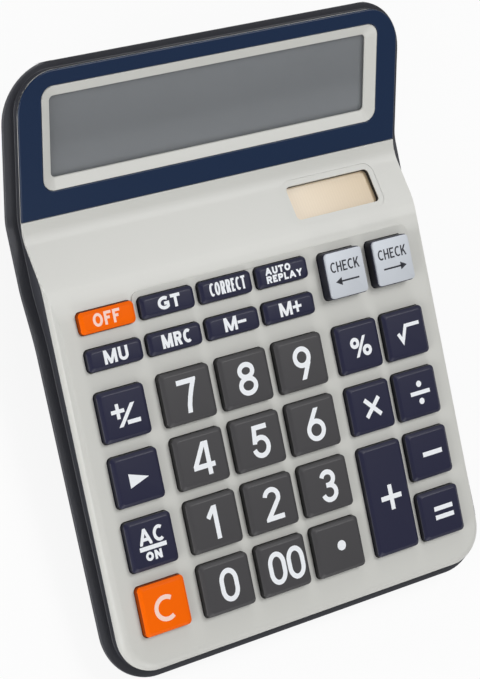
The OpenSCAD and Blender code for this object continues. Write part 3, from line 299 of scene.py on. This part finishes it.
# ---- Display behind the panel ----
# A clear moulded lens over the grey glass of the liquid crystal display. The glass lies on a foam
# pad in a plastic holder, and a printed ribbon of film leads from it down to the board.
LENS_ALPHA = 0.08
clear_lens = finish("clear_lens", colour(235, 240, 245), 0.06, grain=2, grain_depth=0.001,
                    mottle=0.01)
clear_lens.node_tree.nodes["Principled BSDF"].inputs["Alpha"].default_value = LENS_ALPHA
paint(clear_lens, node("display_lens"))
display_grey = finish("display_grey", colour(110, 113, 116), 0.3, grain=0.6, grain_depth=0.002,
                      mottle=0.03)
paint(display_grey, node("lcd_glass"))
pad_foam = finish("pad_foam", colour(225, 225, 220), 0.85, grain=0.5, grain_depth=0.1)
paint(pad_foam, node("lcd_pad"))
paint(finish("holder_plastic", colour(60, 60, 63), 0.5), node("lcd_holder"))
paint(finish("ribbon_film", colour(184, 134, 47), 0.3), node("lcd_ribbon"))

# ---- Solar window ----
# The cell is a strip of coated glass, peach at its left end and tan at its right, with fine lines
# where its sections meet. A dark plastic frame holds it and lines the opening in the shell, and
# two red wires lead from the back of the cell to the board.
CELL_LINE = 1.1 * MM
# Distance in metres between the bands of a wave texture whose scale is 1
BAND_STEP = 0.314
PEACH = colour(236, 218, 191)
TAN = colour(211, 189, 155)
LINE_SHADE = (0.975, 0.97, 0.965, 1)
paint(finish("frame_plastic", colour(26, 25, 27), 0.4), node("solar_frame"))
solar_glass = finish("solar_glass", colour(230, 211, 182), 0.22, grain=0.5, grain_depth=0.002,
                     mottle=0.02)
nodes, links = solar_glass.node_tree.nodes, solar_glass.node_tree.links
cell_low, cell_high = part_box("solar_cell")
across = nodes.new("ShaderNodeSeparateXYZ")
links.new(nodes["Texture Coordinate"].outputs["Object"], across.inputs["Vector"])
fade = nodes.new("ShaderNodeMapRange")
fade.inputs["From Min"].default_value = cell_low[0]
fade.inputs["From Max"].default_value = cell_high[0]
links.new(across.outputs["X"], fade.inputs["Value"])
fade_tint = mixed(solar_glass, fade.outputs["Result"], PEACH, TAN)
lines = nodes.new("ShaderNodeTexWave")
lines.wave_type = "BANDS"
lines.bands_direction = "X"
lines.inputs["Scale"].default_value = BAND_STEP / CELL_LINE
links.new(nodes["Texture Coordinate"].outputs["Object"], lines.inputs["Vector"])
line_tint = mixed(solar_glass, lines.outputs["Fac"], fade_tint, LINE_SHADE, "MULTIPLY")
links.new(line_tint, nodes["Principled BSDF"].inputs["Base Color"])
paint(solar_glass, node("solar_cell"))
paint(finish("wire_red", colour(170, 32, 30), 0.35), node("solar_leads"))

# ---- Board ----
# Green lacquered board screwed under the deck. The chip sits on it under a drop of black resin,
# next to a few small soldered parts.
paint(finish("board_green", colour(31, 107, 58), 0.3, coat=0.3), node("main_board"))
paint(finish("chip_resin", colour(16, 16, 18), 0.2, coat=0.5), node("controller_chip"))
paint(finish("part_cases", colour(122, 90, 42), 0.4), node("board_parts"))

# ---- Screws ----
# Plated steel screws hold the board to the shell's posts, the display holder to the head, and the
# case on.
screw_steel = finish("screw_steel", colour(190, 190, 188), 0.3, metal=1.0)
paint(screw_steel, node("board_screws"), node("display_screws"), node("case_screws"))

# ---- Battery and its cover ----
# One cell in a plastic sleeve lies across the belly between two spring strips of plated steel, with
# a black wire from each to the board. Its cover, moulded like the case, slides out at the rear.
paint(finish("battery_sleeve", colour(192, 138, 44), 0.3, coat=0.4), node("battery"))
paint(finish("contact_steel", colour(200, 200, 200), 0.25, metal=1.0), node("battery_contacts"))
paint(finish("wire_black", colour(22, 22, 22), 0.35), node("battery_leads"))
paint(case_plastic, node("battery_cover"))

# ---- Feet ----
# Four round feet, moulded in black rubber and glued into shallow sockets in the belly's floor. They
# keep the calculator from sliding on the table.
foot_rubber = finish("foot_rubber", colour(28, 28, 30), 0.8, grain=0.3, grain_depth=0.05)
paint(foot_rubber, node("rubber_feet"))

# ---- Key caps ----
# Moulded ABS caps with a flat top inside a soft bevel, walls down through the deck, two lips that
# stop them under it, and a stem that stands on the rubber dome. Numbers are grey, functions navy,
# and C and OFF orange.
KEY_BEVEL_W = 1.2 * MM
KEY_BEVEL_H = 0.75 * MM
KEY_R = 1.5 * MM
KEY_WALL = 1.2 * MM
LIP_REACH = 0.8 * MM
LIP_T = 1 * MM
STEM_R = 2 * MM
STEM_BELOW_LIPS = 0.6 * MM
CAP_SKIN = 0.4 * MM
TOP_EASE = 0.16 * MM
WALL_EASE = 0.25 * MM
ROUND_STEPS = 24
SAME_HEIGHT = 1e-7
# Faces that slope more than this are walls. They carry a mark, and their colour is darkened by
# painted shade that stands in for the shade on them.
WALL_FROM = math.radians(60)
SHADE_MARK = "wall"
PAINTED_WALL_SHADE = 0.3
SLOPED = (KEY_BEVEL_W, KEY_BEVEL_H)
STRAIGHT = (0, 0)
GREY_KEYS = ["0", "00", "point", "1", "2", "3", "4", "5", "6", "7", "8", "9"]
NAVY_KEYS = ["ac_on", "shift", "sign", "plus", "multiply", "percent", "equals", "minus", "divide",
             "root", "mu", "mrc", "m_minus", "m_plus", "gt", "correct", "replay"]
ORANGE_KEYS = ["clear", "off"]
CHECK_KEYS = ["check_back", "check_next"]
deck_up = (DECK.to_3x3() @ Vector((0, 0, 1))).normalized()


def box_in(face, name):
    """Lowest and highest corner of a CAD piece in one face's frame."""
    back = face.inverted()
    points = [back @ v.co for v in node(name).data.vertices]
    low = Vector([min(p[i] for p in points) for i in range(3)])
    high = Vector([max(p[i] for p in points) for i in range(3)])
    return low, high


def block(bm, low, high):
    """Box between two corners; gives its vertices."""
    verts = bmesh.ops.create_cube(bm, size=1)["verts"]
    low, high = Vector(low), Vector(high)
    bmesh.ops.scale(bm, vec=high - low, verts=verts)
    bmesh.ops.translate(bm, vec=(low + high) / 2, verts=verts)
    return verts


def level(piece, z):
    """Whether an edge or a face lies at height z."""
    return all(abs(v.co.z - z) < SAME_HEIGHT for v in piece.verts)


def rounded_block(bm, low, high, radius, segments=6):
    """Box with its four upright edges rounded."""
    verts = block(bm, low, high)
    upright = {e for v in verts for e in v.link_edges if not level(e, e.verts[0].co.z)}
    bmesh.ops.bevel(bm, geom=list(upright), offset=radius, offset_type="OFFSET", segments=segments,
                    profile=0.5, affect="EDGES", material=-1)


def flat_face(bm, z):
    """The largest face that lies at height z."""
    return max([f for f in bm.faces if level(f, z)], key=lambda f: f.calc_area())


def ease_ring(bm, z, width, segments=3):
    """Rounds the ring of edges at height z."""
    ring = [e for e in bm.edges if level(e, z)]
    bmesh.ops.bevel(bm, geom=ring, offset=width, offset_type="OFFSET", segments=segments,
                    profile=0.5, affect="EDGES", material=-1)


def key_cap(name, bevel_w, bevel_h):
    """A hollow cap the size of its CAD piece, with a sloping bevel or with straight walls."""
    low, high = box_in(DECK, name)
    stem_end = low.z
    lip_low = stem_end + STEM_BELOW_LIPS
    middle = (low + high) / 2
    half_w = (high.x - low.x) / 2
    half_l = (high.y - low.y) / 2 - LIP_REACH
    top = high.z
    shoulder = top - bevel_h
    bm = bmesh.new()
    rounded_block(bm, (-half_w, -half_l, lip_low), (half_w, half_l, shoulder), KEY_R)
    crown = flat_face(bm, shoulder)
    if bevel_w:
        crown = bmesh.ops.extrude_discrete_faces(bm, faces=[crown])["faces"][0]
        bmesh.ops.translate(bm, vec=(0, 0, top - shoulder), verts=crown.verts)
        bmesh.ops.scale(bm, vec=(1 - bevel_w / half_w, 1 - bevel_w / half_l, 1), verts=crown.verts)
        ease_ring(bm, top, TOP_EASE, segments=4)
    ease_ring(bm, shoulder, WALL_EASE)
    sole = flat_face(bm, lip_low)
    bmesh.ops.inset_region(bm, faces=[sole], thickness=KEY_WALL, use_even_offset=True)
    roof = bmesh.ops.extrude_discrete_faces(bm, faces=[sole])["faces"][0]
    roof_z = shoulder - (CAP_SKIN if bevel_w else KEY_WALL)
    bmesh.ops.translate(bm, vec=(0, 0, roof_z - lip_low), verts=roof.verts)
    stem = bmesh.ops.create_cone(bm, cap_ends=True, segments=ROUND_STEPS, radius1=STEM_R,
                                 radius2=STEM_R, depth=roof_z - stem_end)["verts"]
    bmesh.ops.translate(bm, vec=(0, 0, (roof_z + stem_end) / 2), verts=stem)
    lip_half = half_w - KEY_R
    for end in (-1, 1):
        near, far = sorted((end * half_l, end * (half_l + LIP_REACH)))
        block(bm, (-lip_half, near, lip_low), (lip_half, far, lip_low + LIP_T))
    return bm, DECK @ moved(middle.x, middle.y, 0), top


def mark_painted_wall_shade(cap):
    """Marks the cap's faces for the painted shade: 1 on an upright wall, 0 on the bevel and the top.
    """
    mark = cap.data.attributes.new(SHADE_MARK, "FLOAT", "FACE")
    steep = math.cos(WALL_FROM)
    walls = [float(f.normal.dot(deck_up) < steep) for f in cap.data.polygons]
    mark.data.foreach_set("value", walls)


def key_finish_and_wall_shade(name, base, rough, grain, grain_depth, specular):
    """A moulded key's textured finish, with painted shade that darkens its upright walls."""
    material = finish(name, base, rough, grain=grain, grain_depth=grain_depth, mottle=0.03,
                      specular=specular)
    nodes, links = material.node_tree.nodes, material.node_tree.links
    base_colour = nodes["Principled BSDF"].inputs["Base Color"]
    mark = nodes.new("ShaderNodeAttribute")
    mark.attribute_name = SHADE_MARK
    shade = (PAINTED_WALL_SHADE, PAINTED_WALL_SHADE, PAINTED_WALL_SHADE, 1)
    textured = base_colour.links[0].from_socket
    # Painted shade: the colour on the marked walls is multiplied by a dark grey, standing in for the
    # shade that falls on them.
    links.new(mixed(material, mark.outputs["Fac"], textured, shade, "MULTIPLY"), base_colour)
    return material


key_grey = key_finish_and_wall_shade("key_grey", colour(69, 68, 70), 0.4, grain=0.22, grain_depth=0.03,
                      specular=0.35)
key_navy = key_finish_and_wall_shade("key_navy", colour(34, 35, 60), 0.36, grain=0.22, grain_depth=0.025,
                      specular=0.35)
key_orange = key_finish_and_wall_shade("key_orange", colour(255, 106, 0), 0.4, grain=0.25, grain_depth=0.01,
                        specular=0.08)
KEY_KINDS = (
    (GREY_KEYS, key_grey, "key_grey", SLOPED),
    (NAVY_KEYS, key_navy, "key_navy", SLOPED),
    (ORANGE_KEYS, key_orange, "key_orange", SLOPED),
    (CHECK_KEYS, key_navy, "key_navy", STRAIGHT),
)
key_place = {}
for names, material, slot, bevel in KEY_KINDS:
    for name in names:
        bm, place, top = key_cap("key_" + name, *bevel)
        cap = placed("cap_" + name, bm, "key_" + name, material, place, ["key_" + name])
        # The upright walls get painted shade.
        mark_painted_wall_shade(cap)
        key_place[name] = place @ moved(0, 0, top)

# ---- Rubber sheet with its domes ----
# One moulded sheet of grey silicone rubber lies on the board. It has a hollow dome under each key's
# stem, which buckles flat as the key goes down and springs it back.
SHEET_TOP = -5.78 * MM
DOME_H = 1.68 * MM
DOME_FOOT_R = 3.22 * MM
DOME_TOP_R = 2.3 * MM
DOME_SKIN = 0.8 * MM
# Both rims of a dome's hole lie within this distance of its middle.
RIM_WITHIN = 1.3 * DOME_FOOT_R
SAME_POINT = 1e-6
dome_rubber = finish("dome_rubber", colour(150, 156, 160), 0.8)


def rubber_dome():
    """Hollow cone of rubber with a closed top, which stands on its foot ring."""
    bm = bmesh.new()
    skin = [(0, DOME_H), (DOME_TOP_R, DOME_H), (DOME_FOOT_R, 0), (DOME_FOOT_R - DOME_SKIN, 0),
            (DOME_TOP_R - DOME_SKIN, DOME_H - DOME_SKIN), (0, DOME_H - DOME_SKIN)]
    verts = [bm.verts.new((r, 0, z)) for r, z in skin]
    edges = [bm.edges.new(pair) for pair in zip(verts, verts[1:])]
    bmesh.ops.spin(bm, geom=verts + edges, cent=(0, 0, 0), axis=(0, 0, 1), angle=2 * math.pi,
                   steps=ROUND_STEPS, use_merge=True)
    bmesh.ops.remove_doubles(bm, verts=bm.verts, dist=SAME_POINT)
    bmesh.ops.recalc_face_normals(bm, faces=bm.faces)
    return bm


# The domes are cut off the sheet, and each hole is closed between its inner and its outer rim.
sheet = welded("dome_sheet")
cut = bmesh.ops.bisect_plane(sheet, geom=sheet.verts[:] + sheet.edges[:] + sheet.faces[:],
                             dist=SAME_HEIGHT, plane_co=DECK @ Vector((0, 0, SHEET_TOP)),
                             plane_no=deck_up, clear_outer=True)
rims = [e for e in cut["geom_cut"] if isinstance(e, bmesh.types.BMEdge)]
dome_spots = {}
for name in GREY_KEYS + NAVY_KEYS + ORANGE_KEYS + CHECK_KEYS:
    low, high = box_in(DECK, "key_" + name)
    middle = (low + high) / 2
    dome_spots[name] = DECK @ moved(middle.x, middle.y, SHEET_TOP)
    foot = dome_spots[name].translation
    own_rims = [e for e in rims if (e.verts[0].co - foot).length < RIM_WITHIN]
    bmesh.ops.bridge_loops(sheet, edges=own_rims)
placed("dome_base", sheet, "base", dome_rubber, replaces=["dome_sheet"])
for name, spot in dome_spots.items():
    dome = placed("dome_" + name, rubber_dome(), "base", dome_rubber, spot)
    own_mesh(dome)

# ---- Silver plates on the check keys ----
# Thin plates with rounded corners, silver coated with a fine flake. One is pressed on the top of
# each of the two navy check keys.
PLATE_R = 1.2 * MM
PLATE_EASE = 0.18 * MM
key_silver = finish("key_silver", colour(203, 208, 215), 0.48, grain=0.12, grain_depth=0.012,
                    mottle=0.07, metal=0.2)
for name in CHECK_KEYS:
    low, high = box_in(DECK, "cap_" + name)
    bm = bmesh.new()
    rounded_block(bm, low, high, PLATE_R)
    ease_ring(bm, high.z, PLATE_EASE)
    placed("plate_" + name, bm, "key_" + name, key_silver, DECK, ["cap_" + name])
    middle = (low + high) / 2
    key_place[name] = DECK @ moved(middle.x, middle.y, high.z)

# ---- Legends ----
# Pad-printed ink, a few hundredths of a millimetre thick: numerals, signs and the plain words for
# each key's function. They are drawn as strokes of one width, most of them trimmed level at the
# mark's box, with sizes and places in mm from the middle of the key's top.
PRINT_T = 0.03 * MM
PRINT_STEP = 0.002 * MM
HAIR = 1e-6
CUT_WITHIN = 1e-8
OVAL_STEPS = 16


def ink(name, base):
    """Matt printing ink."""
    return finish(name, base, 0.5, grain=0.2, grain_depth=0.004, mottle=0.02)


print_white = ink("print_white", colour(242, 245, 249))
print_pink = ink("print_pink", colour(255, 217, 202))
print_dark = ink("print_dark", colour(30, 32, 44))


def arc(x, y, rx, ry, start, end, steps=14):
    """Points on an ellipse round (x, y), angles in degrees."""
    turn = [math.radians(start + (end - start) * i / steps) for i in range(steps + 1)]
    return [(x + rx * math.cos(t), y + ry * math.sin(t)) for t in turn]


def ring(y, rx, ry, straight=0.0):
    """Closed oval round (0, y), with straight sides of twice the given length."""
    upper = arc(0, y + straight, rx, ry, 0, 180, OVAL_STEPS)
    lower = arc(0, y - straight, rx, ry, 180, 360, OVAL_STEPS)
    return upper + lower + upper[:1]


# Each sign's width for a height of 1, and the middle lines of its strokes. A middle line lies
# between -1 and 1 each way; an end at OUT runs past the sign's box and is trimmed there.
OUT = 1.6
# Strokes that several signs share: the left and the right upright, and the bowl of P and R
LEFT = [(-1, -OUT), (-1, OUT)]
RIGHT = [(1, -OUT), (1, OUT)]
BOWL = [(-1, 1), (0.3, 1)] + arc(0.3, 0.48, 0.7, 0.52, 90, -90) + [(-1, -0.04)]
SIGNS = {
    "0": (0.65, [ring(0, 1, 0.72, 0.28)]),
    "1": (0.38, [[(1, -OUT), (1, OUT)], [(-1.3, 0.36), (1, 1.14)]]),
    "2": (0.66, [arc(-0.05, 0.47, 0.93, 0.53, 170, -28) + [(-0.95, -1), (OUT, -1)]]),
    "3": (0.62, [arc(0, 0.53, 0.9, 0.47, 165, -90) + [(-0.35, 0.06)],
                 [(-0.35, 0.06)] + arc(0, -0.47, 1, 0.53, 90, -168)]),
    "4": (0.75, [[(0.56, OUT), (0.56, -OUT)], [(0.45, 1.3), (-1.08, -0.52), (OUT, -0.52)]]),
    "5": (0.66, [[(1.15, 1), (-0.58, 1), (-0.8, -0.12)], arc(0, -0.365, 1, 0.635, 145, -168, 20)]),
    "6": (0.68, [ring(-0.38, 1, 0.62), [(0.53, 1.3), (-0.85, -0.05)]]),
    "7": (0.67, [[(-OUT, 1), (0.96, 1), (0.55, 0.45), (0.2, -0.1), (-0.05, -0.65), (-0.2, -1.4)]]),
    "8": (0.67, [ring(0.56, 0.86, 0.44), ring(-0.48, 1, 0.52)]),
    "9": (0.65, [ring(0.41, 1, 0.59), [(0.85, 0.02), (-0.3, -1.3)]]),
    "A": (0.95, [[(-1.27, -OUT), (0, 1.15), (1.27, -OUT)], [(-0.62, -0.42), (0.62, -0.42)]]),
    "C": (0.78, [arc(0.26, 0, 1.26, 1, 52, 308, 20)]),
    "E": (0.66, [LEFT, [(-1, 1), (OUT, 1)], [(-1, 0.04), (0.85, 0.04)], [(-1, -1), (OUT, -1)]]),
    "F": (0.66, [LEFT, [(-1, 1), (OUT, 1)], [(-1, 0.04), (0.8, 0.04)]]),
    "G": (0.95, [arc(0.2, 0, 1.2, 1, 52, 312, 20) + [(1, -0.66), (1, -0.1), (0.15, -0.1)]]),
    "H": (0.75, [LEFT, RIGHT, [(-1, 0.04), (1, 0.04)]]),
    "K": (0.82, [LEFT, [(-0.95, -0.45), (1.35, OUT)], [(-0.2, 0.2), (1.25, -OUT)]]),
    "L": (0.62, [LEFT, [(-1, -1), (OUT, -1)]]),
    "M": (1.06, [LEFT, RIGHT, [(-1, 1.35), (0, -1.15), (1, 1.35)]]),
    "N": (0.85, [LEFT, RIGHT, [(-1, 1.2), (1, -1.2)]]),
    "O": (0.9, [ring(0, 1, 1)]),
    "P": (0.75, [LEFT, BOWL]),
    "R": (0.78, [LEFT, BOWL, [(0.1, 0), (1.15, -OUT)]]),
    "T": (0.8, [[(-OUT, 1), (OUT, 1)], [(0, 1), (0, -OUT)]]),
    "U": (0.8, [[(-1, OUT), (-1, -0.3)] + arc(0, -0.3, 1, 0.7, 180, 360) + [(1, OUT)]]),
    "Y": (0.85, [[(-1.3, OUT), (0, -0.1), (1.3, OUT)], [(0, 0), (0, -OUT)]]),
    "+": (1, [[(-OUT, 0), (OUT, 0)], [(0, -OUT), (0, OUT)]]),
    "-": (1, [[(-OUT, 0), (OUT, 0)]]),
    "=": (1, [[(-OUT, 1), (OUT, 1)], [(-OUT, -1), (OUT, -1)]]),
    "/": (1, [[(-1.35, -1.35), (1.35, 1.35)]]),
    "times": (1, [[(-1, -1), (1, 1)], [(-1, 1), (1, -1)]]),
}
# The axes along which a sign is trimmed to its box, where it isn't both
TRIMMED = {"times": (), "/": (1,)}
LETTER_GAP = 0.15


def strokes(lines, width):
    """Flat strokes of one width, with square ends and mitred corners. Each stands a little higher
    than the one before, so that crossing strokes share no face."""
    bm = bmesh.new()
    for order, line in enumerate(lines):
        path = line[:1] + [q for p, q in zip(line, line[1:]) if math.dist(p, q) > HAIR]
        closed = math.dist(path[0], path[-1]) < HAIR
        half = PRINT_T + order * PRINT_STEP
        if closed:
            path = path[:-1]
        verts = [bm.verts.new((x, y, -half)) for x, y in path]
        following = verts[1:] + verts[:1] if closed else verts[1:]
        edges = [bm.edges.new(pair) for pair in zip(verts, following)]
        raised = bmesh.ops.extrude_edge_only(bm, edges=edges)["geom"]
        upper = [v for v in raised if isinstance(v, bmesh.types.BMVert)]
        bmesh.ops.translate(bm, vec=(0, 0, 2 * half), verts=upper)
    bmesh.ops.recalc_face_normals(bm, faces=bm.faces)
    obj = linked("strokes", mesh_of("strokes", bm))
    widen = obj.modifiers.new("stroke width", "SOLIDIFY")
    widen.thickness = width
    widen.offset = 0
    widen.use_even_offset = True
    widened = obj.evaluated_get(bpy.context.evaluated_depsgraph_get())
    mesh = bpy.data.meshes.new_from_object(widened)
    bpy.data.objects.remove(obj)
    return mesh


def sign(name, size, stroke, at=(0, 0)):
    """One sign in a box of the given width and height, its strokes trimmed to the box."""
    reach = [(side - stroke) / 2 for side in size]
    lines = [[(x * reach[0], y * reach[1]) for x, y in line] for line in SIGNS[name][1]]
    bm = bmesh.new()
    bm.from_mesh(strokes(lines, stroke))
    for axis in TRIMMED.get(name, (0, 1)):
        for side in (-1, 1):
            outward = Vector((0, 0, 0))
            outward[axis] = side
            bmesh.ops.bisect_plane(bm, geom=bm.verts[:] + bm.edges[:] + bm.faces[:], dist=CUT_WITHIN,
                                   plane_co=outward * (size[axis] / 2), plane_no=outward,
                                   clear_outer=True)
            bmesh.ops.holes_fill(bm, edges=[e for e in bm.edges if e.is_boundary])
    bmesh.ops.translate(bm, vec=(*at, 0), verts=bm.verts)
    return mesh_of(name, bm)


def word(text, size, stroke, at=(0, 0)):
    """A word in capitals that fills a box of the given width and height."""
    shares = [SIGNS[letter][0] for letter in text]
    unit = size[0] / (sum(shares) + LETTER_GAP * (len(text) - 1))
    meshes = []
    x = at[0] - size[0] / 2
    for letter, share in zip(text, shares):
        meshes.append(sign(letter, (share * unit, size[1]), stroke, (x + share * unit / 2, at[1])))
        x += (share + LETTER_GAP) * unit
    return meshes


def bar(width, stroke, at=(0, 0)):
    """Level stroke of a given width; its box is a hair higher, so that only its ends are trimmed."""
    return sign("-", (width, stroke + HAIR), stroke, at)


def disc(diameter, at=(0, 0), sides=32):
    """Round dot; with three sides, a triangle that points to the right."""
    bm = bmesh.new()
    bmesh.ops.create_cone(bm, cap_ends=True, segments=sides, radius1=diameter / 2,
                          radius2=diameter / 2, depth=2 * PRINT_T)
    bmesh.ops.rotate(bm, matrix=Matrix.Rotation(math.radians(-90), 3, "Z"), verts=bm.verts)
    bmesh.ops.translate(bm, vec=(*at, 0), verts=bm.verts)
    return mesh_of("disc", bm)


def pointer(length, height, way, at):
    """Solid triangle that points to the right (way 1) or to the left (way -1)."""
    # A triangle of radius 1 is 1.5 long, and its middle lies a quarter to the right of its centre.
    unit_l, unit_h = 1.5, math.sqrt(3)
    bm = bmesh.new()
    bm.from_mesh(disc(2, sides=3))
    bmesh.ops.translate(bm, vec=(unit_l / 2 - 1, 0, 0), verts=bm.verts)
    bmesh.ops.scale(bm, vec=(way * length / unit_l, height / unit_h, 1), verts=bm.verts)
    bmesh.ops.translate(bm, vec=(*at, 0), verts=bm.verts)
    return mesh_of("pointer", bm)


def legend(name, meshes, material=print_white):
    """Joins the marks of one key, whose x and y are in mm, and puts them on its top face."""
    bm = bmesh.new()
    for mesh in meshes:
        bm.from_mesh(mesh)
    bmesh.ops.scale(bm, vec=(MM, MM, 1), verts=bm.verts)
    bmesh.ops.recalc_face_normals(bm, faces=bm.faces)
    placed("print_" + name, bm, "key_" + name, material, key_place[name])


# Numerals: height, stroke, and how far each stands to the right of its key's middle
NUMERAL_H = 10.7
NUMERAL_STROKE = 1.6
NUMERAL_X = {"0": 0.4, "1": -0.8, "2": 0.3, "3": 0.5, "4": 0.3,
             "5": 0.3, "6": 0.2, "7": -0.3, "8": 0.2, "9": 0.1}
for digit, x in NUMERAL_X.items():
    width = SIGNS[digit][0] * NUMERAL_H
    legend(digit, [sign(digit, (width, NUMERAL_H), NUMERAL_STROKE, (x, 0))])
legend("00", [sign("0", (6.7, NUMERAL_H), NUMERAL_STROKE, (x, 0)) for x in (-2.85, 4.35)])
# Signs: box, stroke and place of each stroke or dot
legend("point", [disc(3.3, (0.9, 0.4))])
legend("plus", [sign("+", (8.3, 8.3), 1.6, (0.6, 0.2))])
legend("minus", [bar(8, 1.55, (0.95, 0))])
legend("equals", [sign("=", (7.7, 4.4), 1.5, (1, 0.2))])
legend("multiply", [sign("times", (7.3, 7.3), 1.45, (0.35, 0))])
legend("divide", [bar(8, 1.35, (0.8, 0.1)), disc(2.1, (0.8, 3)), disc(2.1, (0.8, -2.8))])
legend("root", [strokes([[(-3.45, 0.5), (-1.95, -2.3), (-0.05, 2.6), (5.65, 2.6)]], 1.2)])
legend("percent", [sign("/", (4.2, 6.7), 1.05, (0.35, 0)),
                   sign("O", (3.65, 3.65), 1.2, (-1.85, 1.45)),
                   sign("O", (3.65, 3.65), 1.2, (2.65, -1.6))])
legend("sign", [sign("+", (4.75, 4.75), 1.2, (-2.5, 1.15)),
                sign("/", (5.6, 6.7), 1.2, (0.4, -0.5)),
                bar(4.75, 1.3, (2.6, -2.85))])
legend("shift", [pointer(7, 4.5, 1, (0.1, -0.2))])
legend("ac_on", word("AC", (8.9, 5.1), 1.05, (0, 2.3)) + [bar(9.75, 1.35, (0, -1.35))]
       + word("ON", (5.85, 2.85), 0.85, (-0.3, -3.95)))
legend("clear", [sign("C", (7.1, 8.3), 1.4, (-0.65, -0.55))], print_pink)
# Words on the small keys: box, stroke and place
legend("off", word("OFF", (9.7, 4.15), 0.88, (-0.6, 0.2)), print_pink)
legend("gt", word("GT", (8.3, 4.1), 1.05, (0.25, 0.2)))
legend("correct", word("CORRECT", (13.65, 4.2), 0.72, (0.4, 0.3)))
legend("mu", word("MU", (8.7, 4.35), 1, (0, 0.15)))
legend("mrc", word("MRC", (10.7, 4.35), 1, (0.2, 0.15)))
legend("replay", word("AUTO", (9.85, 2.35), 0.65, (-1.8, 1.5))
       + word("REPLAY", (13.9, 2.35), 0.65, (0.25, -1.15)))
legend("m_minus", [sign("M", (4.8, 4.4), 1, (-1.3, 0.15)), bar(3.3, 0.9, (3, 0.1))])
legend("m_plus", [sign("M", (4.8, 4.4), 1, (-1.8, 0.15)), sign("+", (3.4, 3.6), 0.9, (2.65, 0.1))])
ARROW_Y = -2.25
for name, way in (("check_back", -1), ("check_next", 1)):
    arrow = [bar(8, 0.55, (-0.6 * way, ARROW_Y)), pointer(2.5, 2.6, way, (3.6 * way, ARROW_Y))]
    legend(name, word("CHECK", (11.6, 3.4), 0.5, (-0.15, 2.6)) + arrow, print_dark)

# ---- Backdrop ----
# A soft white tent all round, fully white to the camera and much dimmer where it lights the
# calculator.
TENT_LIGHT = 0.27
WHITE = (1.0, 1.0, 1.0, 1.0)
world = bpy.data.worlds.new("studio")
world.use_nodes = True
nodes, links = world.node_tree.nodes, world.node_tree.links
nodes.clear()
seen = nodes.new("ShaderNodeBackground")
seen.inputs["Color"].default_value = WHITE
lit = nodes.new("ShaderNodeBackground")
lit.inputs["Color"].default_value = WHITE
lit.inputs["Strength"].default_value = TENT_LIGHT
ray = nodes.new("ShaderNodeLightPath")
either = nodes.new("ShaderNodeMath")
either.operation = "MAXIMUM"
links.new(ray.outputs["Is Camera Ray"], either.inputs[0])
links.new(ray.outputs["Is Transmission Ray"], either.inputs[1])
blend = nodes.new("ShaderNodeMixShader")
links.new(either.outputs["Value"], blend.inputs["Fac"])
links.new(lit.outputs["Background"], blend.inputs[1])
links.new(seen.outputs["Background"], blend.inputs[2])
sky = nodes.new("ShaderNodeOutputWorld")
links.new(blend.outputs["Shader"], sky.inputs["Surface"])
scene.world = world

# ---- Floor ----
# A large sheet of pale matt paper. To the camera it glows almost white, so that only the shadow
# under the calculator shows.
PAPER = (0.85, 0.85, 0.85, 1)
GLOW_SHARE = 0.9
FLOOR_HALF = 6
floor_material = bpy.data.materials.new("floor_paper")
floor_material.use_nodes = True
nodes, links = floor_material.node_tree.nodes, floor_material.node_tree.links
nodes.clear()
paper = nodes.new("ShaderNodeBsdfDiffuse")
paper.inputs["Color"].default_value = PAPER
glow = nodes.new("ShaderNodeEmission")
glow.inputs["Color"].default_value = WHITE
ray = nodes.new("ShaderNodeLightPath")
share = nodes.new("ShaderNodeMath")
share.operation = "MULTIPLY"
share.inputs[1].default_value = GLOW_SHARE
links.new(ray.outputs["Is Camera Ray"], share.inputs[0])
blend = nodes.new("ShaderNodeMixShader")
links.new(share.outputs["Value"], blend.inputs["Fac"])
links.new(paper.outputs["BSDF"], blend.inputs[1])
links.new(glow.outputs["Emission"], blend.inputs[2])
surface = nodes.new("ShaderNodeOutputMaterial")
links.new(blend.outputs["Shader"], surface.inputs["Surface"])
bm = bmesh.new()
bmesh.ops.create_grid(bm, x_segments=1, y_segments=1, size=FLOOR_HALF)
floor = linked("floor", mesh_of("floor", bm))
paint(floor_material, floor)
floor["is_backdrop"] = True

# ---- Lamps ----
# Four square soft lamps, each aimed at the calculator. One hangs high at the right; the others
# stand lower, behind, at the left and in front, and light the rounded edges.
LAMP_TARGET = Vector((0, 0, 0.02))


def lamp(name, size, power, place):
    """Square soft lamp of a size in metres and a power in watts."""
    data = bpy.data.lights.new(name, "AREA")
    data.size = size
    data.energy = power
    obj = linked(name, data)
    obj.location = place
    aim = LAMP_TARGET - Vector(place)
    obj.rotation_euler = aim.to_track_quat("-Z", "Y").to_euler()


lamp("key_lamp", 0.7, 10, (0.7, 0.4, 1.25))
lamp("edge_lamp", 0.5, 4, (0.2, 1.5, 0.7))
lamp("side_lamp", 0.9, 11, (-1.2, -0.3, 0.3))
lamp("front_lamp", 0.8, 5, (0.2, -1.4, 0.6))

low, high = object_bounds()
